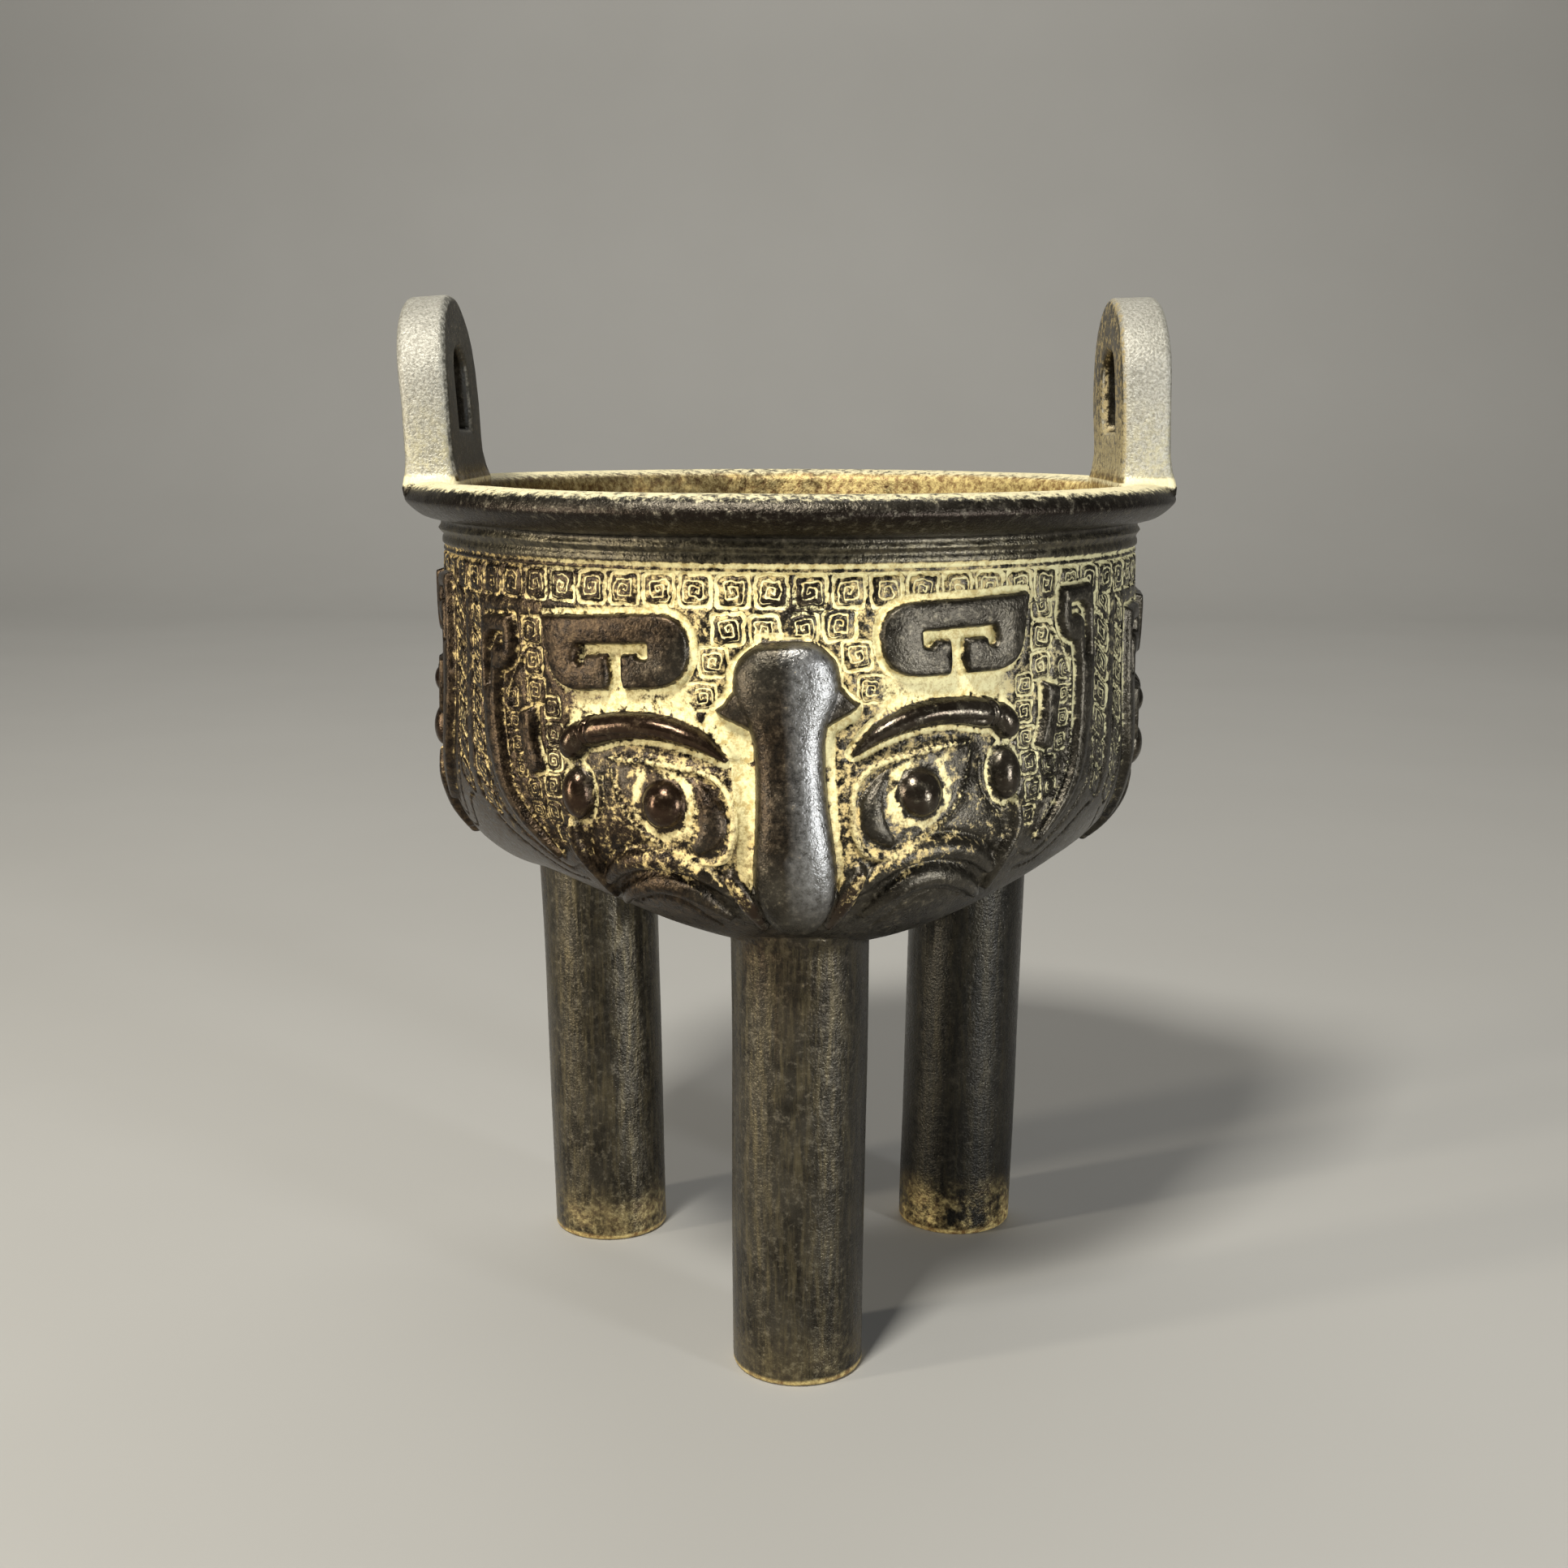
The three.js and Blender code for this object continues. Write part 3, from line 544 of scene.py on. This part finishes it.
def make_handle(side):
    base, arch_foot = RIM - HANDLE_ROOT, RIM + HANDLE_RISE - HANDLE_ARCH
    bm = bmesh.new()
    loops = []
    for shape in (
        handle_outline(HANDLE_BASE / 2, HANDLE_TOP / 2, HANDLE_ARCH, base, arch_foot),
        handle_outline(
            HANDLE_BASE / 2 - HANDLE_BAR, HANDLE_TOP / 2 - HANDLE_BAR, HANDLE_ARCH - HANDLE_CROWN,
            RIM + HANDLE_SILL, arch_foot,
        ),
    ):
        ring = [bm.verts.new((-HANDLE_THICK / 2, y, z)) for y, z in shape]
        loops += [bm.edges.new((a, b)) for a, b in zip(ring, ring[1:] + ring[:1])]
    face = bmesh.ops.bridge_loops(bm, edges=loops)["faces"]
    pushed = bmesh.ops.extrude_face_region(bm, geom=face, use_keep_orig=True)["geom"]
    far_side = [v for v in pushed if isinstance(v, bmesh.types.BMVert)]
    bmesh.ops.translate(bm, vec=(HANDLE_THICK, 0, 0), verts=far_side)
    bmesh.ops.recalc_face_normals(bm, faces=bm.faces)
    sharp = [e for e in bm.edges if len(e.link_faces) == 2 and e.calc_face_angle() > 1]
    bmesh.ops.bevel(bm, geom=sharp, offset=HANDLE_EDGE, affect="EDGES", segments=3, profile=0.5, material=-1)
    long_edges = [e for e in bm.edges if e.calc_length() > 3]
    bmesh.ops.subdivide_edges(bm, edges=long_edges, cuts=3, use_grid_fill=True)
    bmesh.ops.triangulate(bm, faces=[f for f in bm.faces if len(f.verts) > 4])
    handle = mesh_object("handle_right" if side > 0 else "handle_left", bm)
    places = np.empty(len(handle.data.vertices) * 3)
    handle.data.vertices.foreach_get("co", places)
    x, y, z = places.reshape(-1, 3).T
    flare = 0.9 * np.exp(-((z - RIM + 1) / 2.6) ** 2)
    x = x + np.sign(x) * flare * smooth(0, 3, np.abs(x))
    y = y + np.sign(y) * flare * 0.8
    x = x + 0.16 * noise(x, y + 50 * side, z, 8, 7)
    y = y + 0.2 * noise(x, y + 50 * side, z, 9, 8)
    z = z + 0.16 * noise(x, y + 50 * side, z, 9, 9) * smooth(RIM + 6, RIM + 20, z)
    lean = side * math.radians(HANDLE_LEAN[side])
    c, s = math.cos(lean), math.sin(lean)
    x, z = x * c + (z - base) * s + side * HANDLE_REACH, (z - base) * c - x * s + base
    handle.data.vertices.foreach_set("co", (np.stack([x, y, z], -1) * MM).ravel())
    return handle


handles = [make_handle(side) for side in (-1, 1)]


# One casting: bowl, legs and handles are joined into one closed skin, and flat places get fewer faces.
FACES = 186000
burner = bowl
burner.name = "incense_burner_casting"
for part in legs + handles:
    union = burner.modifiers.new(part.name, "BOOLEAN")
    union.operation = "UNION"
    union.solver = "MANIFOLD"
    union.object = part


def apply_modifiers(piece):
    graph = bpy.context.evaluated_depsgraph_get()
    made = bpy.data.meshes.new_from_object(piece.evaluated_get(graph))
    piece.modifiers.clear()
    old = piece.data
    piece.data = made
    bpy.data.meshes.remove(old)


apply_modifiers(burner)
for part in legs + handles:
    bpy.data.objects.remove(part)
bm = bmesh.new()
bm.from_mesh(burner.data)
bmesh.ops.triangulate(bm, faces=bm.faces)
triangles = len(bm.faces)
bm.to_mesh(burner.data)
bm.free()
thin = burner.modifiers.new("thin", "DECIMATE")
thin.ratio = min(1, FACES / triangles)
apply_modifiers(burner)
mesh = burner.data
mesh.name = burner.name
print("burner", triangles, "to", len(mesh.polygons))


# What each point of the skin carries for its finish: pale earth, thunder squares, the nose's painted
# highlight, gloss and wear, whether it is inside the bowl, and its place in its thunder square.
def field_place(places):
    """Place on the grid of the masks, across and down, and height over the ground in millimetres."""
    x, y, z = places.T
    r = np.hypot(x, y)
    azimuth = np.arctan2(y, x) + math.pi / 2 - MASK_TURN
    low = z < FOOT_OF_WALL
    angle = np.arctan2((FOOT_OF_WALL - z) / TURN_DEPTH, (r - WALL_FOOT + TURN_ACROSS) / TURN_ACROSS)
    angles = np.linspace(0, math.pi / 2, TURN_STEPS + 1)
    under = WALL_STEPS + TURN_STEPS
    length = np.where(low, np.interp(angle, angles, LINE_S[WALL_STEPS:under + 1]), BORDER - z)
    length = np.where(low & (r < LINE_R[under]), np.interp(-r, -LINE_R[under:], LINE_S[under:]), length)
    sector = 2 * math.pi / LEGS
    across = ((azimuth / sector + 0.5) % 1 - 0.5) * 2 * HALF_FIELD
    base_r, base_z = on_bowl(azimuth, length, 0)
    normal_r, normal_z = np.interp(length, LINE_S, NORMAL_R), np.interp(length, LINE_S, NORMAL_Z)
    return across, length / LENGTH * FIELD, (r - base_r) * normal_r + (z - base_z) * normal_z


places = np.empty(len(mesh.vertices) * 3)
mesh.vertices.foreach_get("co", places)
places = places.reshape(-1, 3) / MM
across, down, out = field_place(places)
skin = (down > -0.9) & (down < 62) & (out > -1.2)
height, pale, squares, nose_highlight, gloss = relief(across, down)
worn = np.exp(-((across - 1) / 6) ** 2 - ((down - 5.5) / 3.5) ** 2)
hollow = smooth(-1.4, -2.2, out) * (places[:, 2] > LEG_LENGTH + 1) * (places[:, 2] < RIM + 1.5)
finish = {"pale": pale, "squares": squares, "nose_highlight": nose_highlight, "worn": worn, "gloss": gloss, "ornament": 1.0}
for name, value in [*[(name, value * skin) for name, value in finish.items()], ("hollow", hollow)]:
    mesh.attributes.new(name, "FLOAT", "POINT").data.foreach_set("value", value.astype(np.float32))

corners = np.empty(len(mesh.loops), np.int32)
mesh.loops.foreach_get("vertex_index", corners)
corners = corners.reshape(-1, 3)
wrap = across[corners]
wrap = wrap - 2 * HALF_FIELD * np.rint((wrap - wrap[:, :1]) / (2 * HALF_FIELD))
middle_across, middle_down = wrap.mean(1), down[corners].mean(1)
row, found = nearest_square(middle_across, middle_down)
sign = np.where(middle_across < 0, -1, 1)
square = np.full((len(corners), 3, 2), 5.0)
for k in range(3):
    u, v = in_square(wrap[:, k], down[corners[:, k]], row, found, sign)
    square[:, k, 0], square[:, k, 1] = u, v
far = ~skin[corners].all(1)
square[far] = 5
mesh.uv_layers.new(name="thunder_square").data.foreach_set("uv", square.ravel().astype(np.float32))
mesh.shade_smooth()


# The bronze: dark brown cast metal with a fine grain, pale yellow earth rubbed into the relief, and bare gold
# metal on the feet and inside. Where a name has two colours, the grain spreads from the first to the second.
# Places are in millimetres, in the part's frame.
CREAM = (0.50, 0.38, 0.14), (0.82, 0.75, 0.41)
OCHRE = (0.06, 0.03, 0.01), (0.56, 0.42, 0.17)
DULL_EARTH = (0.32, 0.31, 0.19)
METAL = (0.020, 0.017, 0.012), (0.062, 0.055, 0.042)
METAL_SPECK = (0.26, 0.23, 0.17)
BROWN = (0.013, 0.008, 0.005), (0.080, 0.052, 0.028)
NOSE_HIGHLIGHT_METAL, RUDDY = (0.25, 0.25, 0.245), (0.050, 0.027, 0.016)
LEG_STREAK, LEG_PAINTED_SHADE = (0.14, 0.115, 0.065), (0.013, 0.013, 0.012)
SILVER_AND_SHEEN = (0.21, 0.20, 0.165), (0.38, 0.37, 0.32)
OPENING_PAINTED_SHADE, HANDLE_PAINTED_SHADE, HANDLE_FLAKES = (0.012, 0.010, 0.007), (0.016, 0.016, 0.010), (0.30, 0.24, 0.12)
HANDLE_FOOT, LIP_CREST = (0.44, 0.40, 0.24), (0.70, 0.63, 0.39)
UNDER_LIP, NECK_SPECK = (0.014, 0.009, 0.006), (0.15, 0.13, 0.08)
GOLD = (0.20, 0.11, 0.035), (0.68, 0.54, 0.22)
LIP_FOOT = RIM - LIP_HEIGHT


class Nodes:
    def __init__(self, name):
        self.material = bpy.data.materials.new(name)
        self.material.use_nodes = True
        self.tree = self.material.node_tree
        self.tree.nodes.clear()

    def add(self, kind, inputs=None, **values):
        node = self.tree.nodes.new(kind)
        for key, value in values.items():
            setattr(node, key, value)
        for key, value in (inputs or {}).items():
            if isinstance(value, bpy.types.NodeSocket):
                self.tree.links.new(value, node.inputs[key])
            else:
                node.inputs[key].default_value = value
        return node

    def math(self, operation, *values, clamp=False):
        inputs = dict(enumerate(values))
        return self.add("ShaderNodeMath", inputs, operation=operation, use_clamp=clamp).outputs[0]

    def fold(self, operation, values):
        result = values[0]
        for value in values[1:]:
            result = self.math(operation, result, value)
        return result

    def times(self, *values):
        return self.fold("MULTIPLY", values)

    def plus(self, *values):
        return self.fold("ADD", values)

    def most(self, *values):
        return self.fold("MAXIMUM", values)

    def without(self, mask, share=1.0):
        """1, less a share of a mask."""
        return self.math("SUBTRACT", 1.0, self.times(mask, share))

    def size(self, value):
        """The value without its sign."""
        return self.math("ABSOLUTE", value)

    def noise(self, place, scale, detail=3.0, roughness=0.55):
        inputs = {"Vector": place, "Scale": scale, "Detail": detail, "Roughness": roughness}
        return self.add("ShaderNodeTexNoise", inputs).outputs["Fac"]

    def ramp(self, value, start, end, low=0.0, high=1.0):
        inputs = {0: value, 1: start, 2: end, 3: low, 4: high}
        return self.add("ShaderNodeMapRange", inputs, interpolation_type="SMOOTHSTEP").outputs[0]

    def mix(self, factor, a, b):
        node = self.add("ShaderNodeMix", {0: factor}, data_type="RGBA")
        for socket, value in ((node.inputs[6], a), (node.inputs[7], b)):
            if isinstance(value, bpy.types.NodeSocket):
                self.tree.links.new(value, socket)
            else:
                socket.default_value = (*value, 1)
        return node.outputs[2]

    def attribute(self, name):
        return self.add("ShaderNodeAttribute", attribute_name=name).outputs["Fac"]

    def parts(self, vector):
        return self.add("ShaderNodeSeparateXYZ", {0: vector}).outputs


def thunder_lines(n, place):
    """The squared spiral of each thunder square, 1 in its grooves."""
    turns, wander_scale, wander = 2.9, 650.0, 0.42
    uv = n.parts(n.add("ShaderNodeUVMap", uv_map="thunder_square").outputs[0])
    wandering = n.add("ShaderNodeTexNoise", {"Vector": place, "Scale": wander_scale, "Detail": 1.0})
    shift = n.parts(wandering.outputs["Color"])
    u, v = [n.plus(a, n.times(n.math("SUBTRACT", b, 0.5), wander)) for a, b in zip(uv, shift[:2])]
    d = n.math("POWER", n.plus(*[n.math("POWER", n.size(a), 6.0) for a in (u, v)]), 1 / 6)
    turn = n.math("DIVIDE", n.math("ARCTAN2", v, u), 2 * math.pi)
    phase = n.math("SUBTRACT", n.times(d, turns), turn)
    wave = n.math("COSINE", n.times(phase, 2 * math.pi))
    spiral = n.times(n.ramp(wave, 0.1, 0.8), n.ramp(d, 0.78, 0.72))
    edge = n.times(n.ramp(d, 0.85, 0.92), n.ramp(d, 1.16, 1.1))
    return n.most(spiral, edge)


def make_bronze():
    n = Nodes("bronze")
    place = n.add("ShaderNodeTexCoord").outputs["Object"]
    x, y, z = [n.times(part, 1 / MM) for part in n.parts(place)]
    facing = n.parts(n.add("ShaderNodeNewGeometry").outputs["Normal"])
    radius = n.math("SQRT", n.plus(n.times(x, x), n.times(y, y)))
    outward = n.math("DIVIDE", n.plus(n.times(x, facing[0]), n.times(y, facing[1])), radius)
    grain = n.noise(place, 2300.0, 2.0)
    speck = n.noise(place, 800.0, 5.0, 0.75)
    patch = n.noise(place, 130.0, 5.0, 0.65)
    broad = n.noise(place, 30.0, 3.0)
    upright = n.add("ShaderNodeMapping", {"Vector": place, "Scale": (1.0, 1.0, 0.1)}).outputs[0]
    streak = n.noise(upright, 1100.0, 5.0, 0.7)

    # Where things are: sides of the bowl, legs, handles and the openings in the handles.
    left, right = n.ramp(x, -4, -45), n.ramp(x, 22, 50)
    cheek = n.times(n.ramp(x, 10, 28), n.ramp(z, 116, 106))
    leg = n.ramp(z, LEG_LENGTH + 1, LEG_LENGTH - 3)
    handle = n.ramp(z, RIM + 0.6, RIM + 1.4)
    inner = n.times(n.ramp(outward, -0.2, -0.5), n.ramp(z, LEG_LENGTH + 1, LEG_LENGTH + 4))
    inner_handle = n.times(handle, inner)
    middle = n.times(n.ramp(n.size(y), 9.5, 7.5), n.ramp(z, RIM + 25.5, RIM + 23.5))
    middle = n.times(middle, n.ramp(n.size(facing[0]), 0.8, 0.5))
    opening_painted_shade = n.times(handle, middle)
    # Faces turned to the front and up, which take the handles' painted highlight.
    front = n.ramp(n.math("SUBTRACT", n.times(facing[2], 0.7), facing[1]), 0.2, 0.5)
    ornament, gloss = n.attribute("ornament"), n.attribute("gloss")

    # Pale earth, where the relief holds it.
    lines = n.times(thunder_lines(n, place), n.attribute("squares"))
    pale = n.most(n.attribute("pale"), n.times(lines, 0.95))
    filled = n.times(pale, n.ramp(patch, 0.32, 0.5, 0.7, 1.0), n.without(n.attribute("worn"), 0.6))
    filled = n.times(filled, n.without(left, 0.45), n.without(right, 0.3), n.without(cheek, 0.35))
    filled = n.plus(filled, n.times(n.math("SUBTRACT", speck, 0.5), 1.5))
    fleck = n.times(n.ramp(speck, 0.66, 0.74), ornament, 0.6)
    pigment = n.most(n.times(n.ramp(filled, 0.36, 0.62), ornament), fleck)
    ochre = n.mix(n.ramp(speck, 0.38, 0.62), *OCHRE)
    earth = n.mix(n.ramp(pale, 0.4, 0.9), ochre, n.mix(n.ramp(speck, 0.35, 0.6), *CREAM))
    earth = n.mix(n.times(left, n.ramp(broad, 0.25, 0.55)), earth, ochre)
    earth = n.mix(n.times(right, 0.7), earth, DULL_EARTH)
    earth = n.mix(n.times(n.ramp(z, 105, 88), 0.6), earth, ochre)

    # Metal: dark with light specks, brown on the left, lighter on the right half of the nose as a painted
    # highlight, streaked on the legs and darker towards their right as painted shade.
    metal = n.mix(n.ramp(patch, 0.3, 0.7), *METAL)
    metal = n.mix(n.ramp(speck, 0.5, 0.7, 0.0, 0.45), metal, METAL_SPECK)
    leftward = n.math("SUBTRACT", broad, n.times(x, 0.004))
    rusty = n.times(n.ramp(leftward, 0.36, 0.56), n.ramp(x, 20, -16, 0.15, 0.9), ornament)
    metal = n.mix(rusty, metal, n.mix(n.ramp(speck, 0.38, 0.68), *BROWN))
    # Painted highlight on the nose's right half.
    metal = n.mix(n.times(n.attribute("nose_highlight"), n.ramp(speck, 0.3, 0.6, 0.35, 1.0)), metal, NOSE_HIGHLIGHT_METAL)
    ruddy = n.times(gloss, n.ramp(speck, 0.65, 0.4, 0.2, 0.6), n.ramp(x, 30, 0, 0.3, 1.0))
    metal = n.mix(ruddy, metal, RUDDY)
    metal = n.mix(n.times(leg, n.ramp(streak, 0.42, 0.7, 0.0, 0.7)), metal, LEG_STREAK)
    # Painted shade: the legs darken towards the right, the rear right leg most.
    metal = n.mix(n.times(leg, n.ramp(x, 2, 16, 0.0, 0.75)), metal, LEG_PAINTED_SHADE)

    # Handles and lip: silver in front and on top, lighter there partly as painted highlight; painted shade
    # inside the openings and on the left handle's inner faces; dark under the lip; flaky on the right.
    # Painted highlight: the handles' faces to the front and up get lighter silver metal, partly the handles'
    # own silvery patina.
    silver_and_sheen = n.times(handle, front, n.math("SUBTRACT", 0.9, middle, clamp=True))
    metal = n.mix(silver_and_sheen, metal, n.mix(n.ramp(grain, 0.3, 0.7), *SILVER_AND_SHEEN))
    # Painted shade: the walls inside the handles' openings are darkened nearly black.
    metal = n.mix(n.times(opening_painted_shade, 0.75), metal, OPENING_PAINTED_SHADE)
    # Painted shade: the left handle's inner faces, turned away from the key light, are darkened.
    left_inner_painted_shade = n.times(inner_handle, n.ramp(x, 0, -30))
    metal = n.mix(n.times(left_inner_painted_shade, n.ramp(speck, 0.4, 0.62, 0.8, 0.1)), metal, HANDLE_PAINTED_SHADE)
    under_lip = n.times(n.ramp(z, LIP_FOOT - 0.2, LIP_FOOT + 0.6), n.ramp(z, RIM - 0.8, RIM - 3.2))
    metal = n.mix(n.times(under_lip, n.ramp(speck, 0.64, 0.5, 0.1, 0.9)), metal, UNDER_LIP)
    flakes = n.plus(speck, n.ramp(z, RIM + 24, RIM + 2, 0.0, 0.1))
    flaky = n.times(inner_handle, n.ramp(x, 0, 30), n.ramp(flakes, 0.5, 0.57, 0.12, 0.9))
    metal = n.mix(flaky, metal, HANDLE_FLAKES)
    neck = n.times(n.ramp(z, BORDER - 0.2, BORDER + 0.2), n.ramp(z, LIP_FOOT - 0.2, LIP_FOOT - 1))
    metal = n.mix(n.times(neck, n.ramp(speck, 0.4, 0.65, 0.1, 0.7)), metal, NECK_SPECK)

    # Bare gold metal on the feet and inside, and pale edges on the handles' feet and the lip.
    rubbed = n.ramp(n.plus(n.times(speck, 0.25), n.times(patch, 0.75)), 0.36, 0.62)
    foot = n.times(n.ramp(z, 13, 1), rubbed, n.ramp(y, -30, 10, 0.15, 1.0), n.ramp(x, -50, 40, 0.5, 1.0))
    foot = n.most(foot, n.ramp(n.plus(z, patch), 2.0, 1.2, 0.0, 0.95))
    warm = n.ramp(n.plus(patch, n.times(x, 0.005)), 0.36, 0.58, 0.35, 1.0)
    bare = n.most(foot, n.times(n.attribute("hollow"), warm))
    handle_foot = n.times(handle, n.ramp(z, RIM + 18, RIM + 2), n.ramp(speck, 0.4, 0.65, 0.1, 0.6))
    handle_foot = n.times(handle_foot, n.without(n.most(left_inner_painted_shade, opening_painted_shade)))
    uneven = n.plus(z, n.times(n.math("SUBTRACT", speck, 0.5), 3.0))
    broken = n.ramp(n.plus(speck, n.times(n.size(x), 0.003)), 0.42, 0.58, 0.2, 0.95)
    crest = n.times(n.ramp(uneven, RIM - 1.1, RIM - 0.3), n.without(handle), broken)
    crest = n.times(crest, n.without(n.times(inner, n.ramp(z, RIM - 0.1, RIM + 0.2))))
    colour = n.mix(bare, metal, n.mix(n.ramp(speck, 0.35, 0.65), *GOLD))
    colour = n.mix(handle_foot, colour, HANDLE_FOOT)
    colour = n.mix(crest, colour, LIP_CREST)
    colour = n.mix(pigment, colour, earth)

    dull = n.most(pigment, n.times(flaky, 0.8), n.times(bare, 0.6), n.times(crest, 0.8))
    dull = n.most(dull, n.times(silver_and_sheen, 0.6), n.times(left_inner_painted_shade, 0.9))
    rough = n.plus(n.ramp(speck, 0.3, 0.7, 0.24, 0.42), n.times(dull, 0.3))
    rough = n.math("SUBTRACT", rough, n.times(gloss, 0.12))
    depth = n.math("SUBTRACT", n.plus(n.times(grain, 0.5), n.times(speck, 0.5)), n.times(lines, 0.7))
    strength = n.math("SUBTRACT", n.plus(n.times(silver_and_sheen, 0.35), 0.55), n.times(gloss, 0.35))
    bump = n.add("ShaderNodeBump", {"Strength": strength, "Distance": 0.0004, "Height": depth})
    metallic = n.math("SUBTRACT", 0.85, n.times(dull, 0.8))
    shader = n.add("ShaderNodeBsdfPrincipled", {
        "Base Color": colour, "Metallic": metallic, "Roughness": rough, "Normal": bump.outputs[0],
    })
    n.add("ShaderNodeOutputMaterial", {0: shader.outputs[0]})
    return n.material


mesh.materials.clear()
mesh.materials.append(make_bronze())
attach(burner, "root")
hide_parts("incense_burner")


# The floor: a plain pale sheet that turns up far behind the burner. It belongs to the room, not to the part.
def make_floor():
    bm = bmesh.new()
    width, front, back, up, bend = 4.0, -1.5, 1.2, 2.2, 0.5
    line = [(front, 0.0)] + [
        (back + bend * math.sin(a), bend * (1 - math.cos(a))) for a in np.linspace(0, math.pi / 2, 13)
    ] + [(back + bend, up)]
    chain = [bm.verts.new((-width / 2, y, z)) for y, z in line]
    edges = [bm.edges.new((a, b)) for a, b in zip(chain, chain[1:])]
    made = bmesh.ops.extrude_edge_only(bm, edges=edges)["geom"]
    bmesh.ops.translate(bm, vec=(width, 0, 0), verts=[v for v in made if isinstance(v, bmesh.types.BMVert)])
    floor = mesh_object("floor", bm)
    floor.data.shade_smooth()
    n = Nodes("floor")
    place = n.add("ShaderNodeTexCoord").outputs["Object"]
    colour = n.mix(n.noise(place, 6.0), (0.27, 0.265, 0.25), (0.30, 0.295, 0.28))
    shader = n.add("ShaderNodeBsdfPrincipled", {"Base Color": colour, "Roughness": 0.8})
    n.add("ShaderNodeOutputMaterial", {0: shader.outputs[0]})
    floor.data.materials.append(n.material)


make_floor()


# Light: a soft panel high in front, a smaller one on the right, a low fill from the left and a grey room.
def make_light(name, place, target, size, power, colour):
    light = bpy.data.lights.new(name, "AREA")
    light.shape = "RECTANGLE"
    light.size, light.size_y = size
    light.energy = power
    light.color = colour
    made = bpy.data.objects.new(name, light)
    made.location = place
    made.visible_camera = False
    made.rotation_euler = (Vector(target) - Vector(place)).to_track_quat("-Z", "Y").to_euler()
    bpy.context.scene.collection.objects.link(made)


make_light("key", (-0.28, -0.62, 1.0), (0, 0, 0.1), (0.2, 0.2), 20, (1.0, 0.97, 0.90))
make_light("right", (0.49, -0.45, 0.06), (0, 0, 0.10), (0.08, 0.30), 4.6, (0.96, 0.98, 1.0))
make_light("left", (-0.80, -0.35, 0.22), (0, 0, 0.1), (0.07, 0.4), 6, (1.0, 0.92, 0.78))
make_light("backdrop", (0, 0.7, 1.5), (0, 1.6, 0.3), (1.2, 0.4), 16, (1.0, 0.98, 0.94))

world = bpy.data.worlds.new("room")
bpy.context.scene.world = world
world.use_nodes = True
world.node_tree.nodes["Background"].inputs[0].default_value = (0.6, 0.6, 0.58, 1)
world.node_tree.nodes["Background"].inputs[1].default_value = 0.15
bpy.context.scene.view_settings.view_transform = "Standard"


# The camera, at the photograph's angle.
def make_camera():
    camera = bpy.data.cameras.new("camera")
    camera.lens = 44.72
    camera.sensor_width = 36
    made = bpy.data.objects.new("camera", camera)
    made.matrix_world = (
        Matrix.Translation((0, -0.3509, 0.1596))
        @ Matrix.Rotation(math.radians(0.15), 4, "Z")
        @ Matrix.Rotation(math.radians(90 - 10.79), 4, "X")
        @ Matrix.Rotation(math.radians(0.16), 4, "Z")
    )
    bpy.context.scene.collection.objects.link(made)
    bpy.context.scene.camera = made


make_camera()
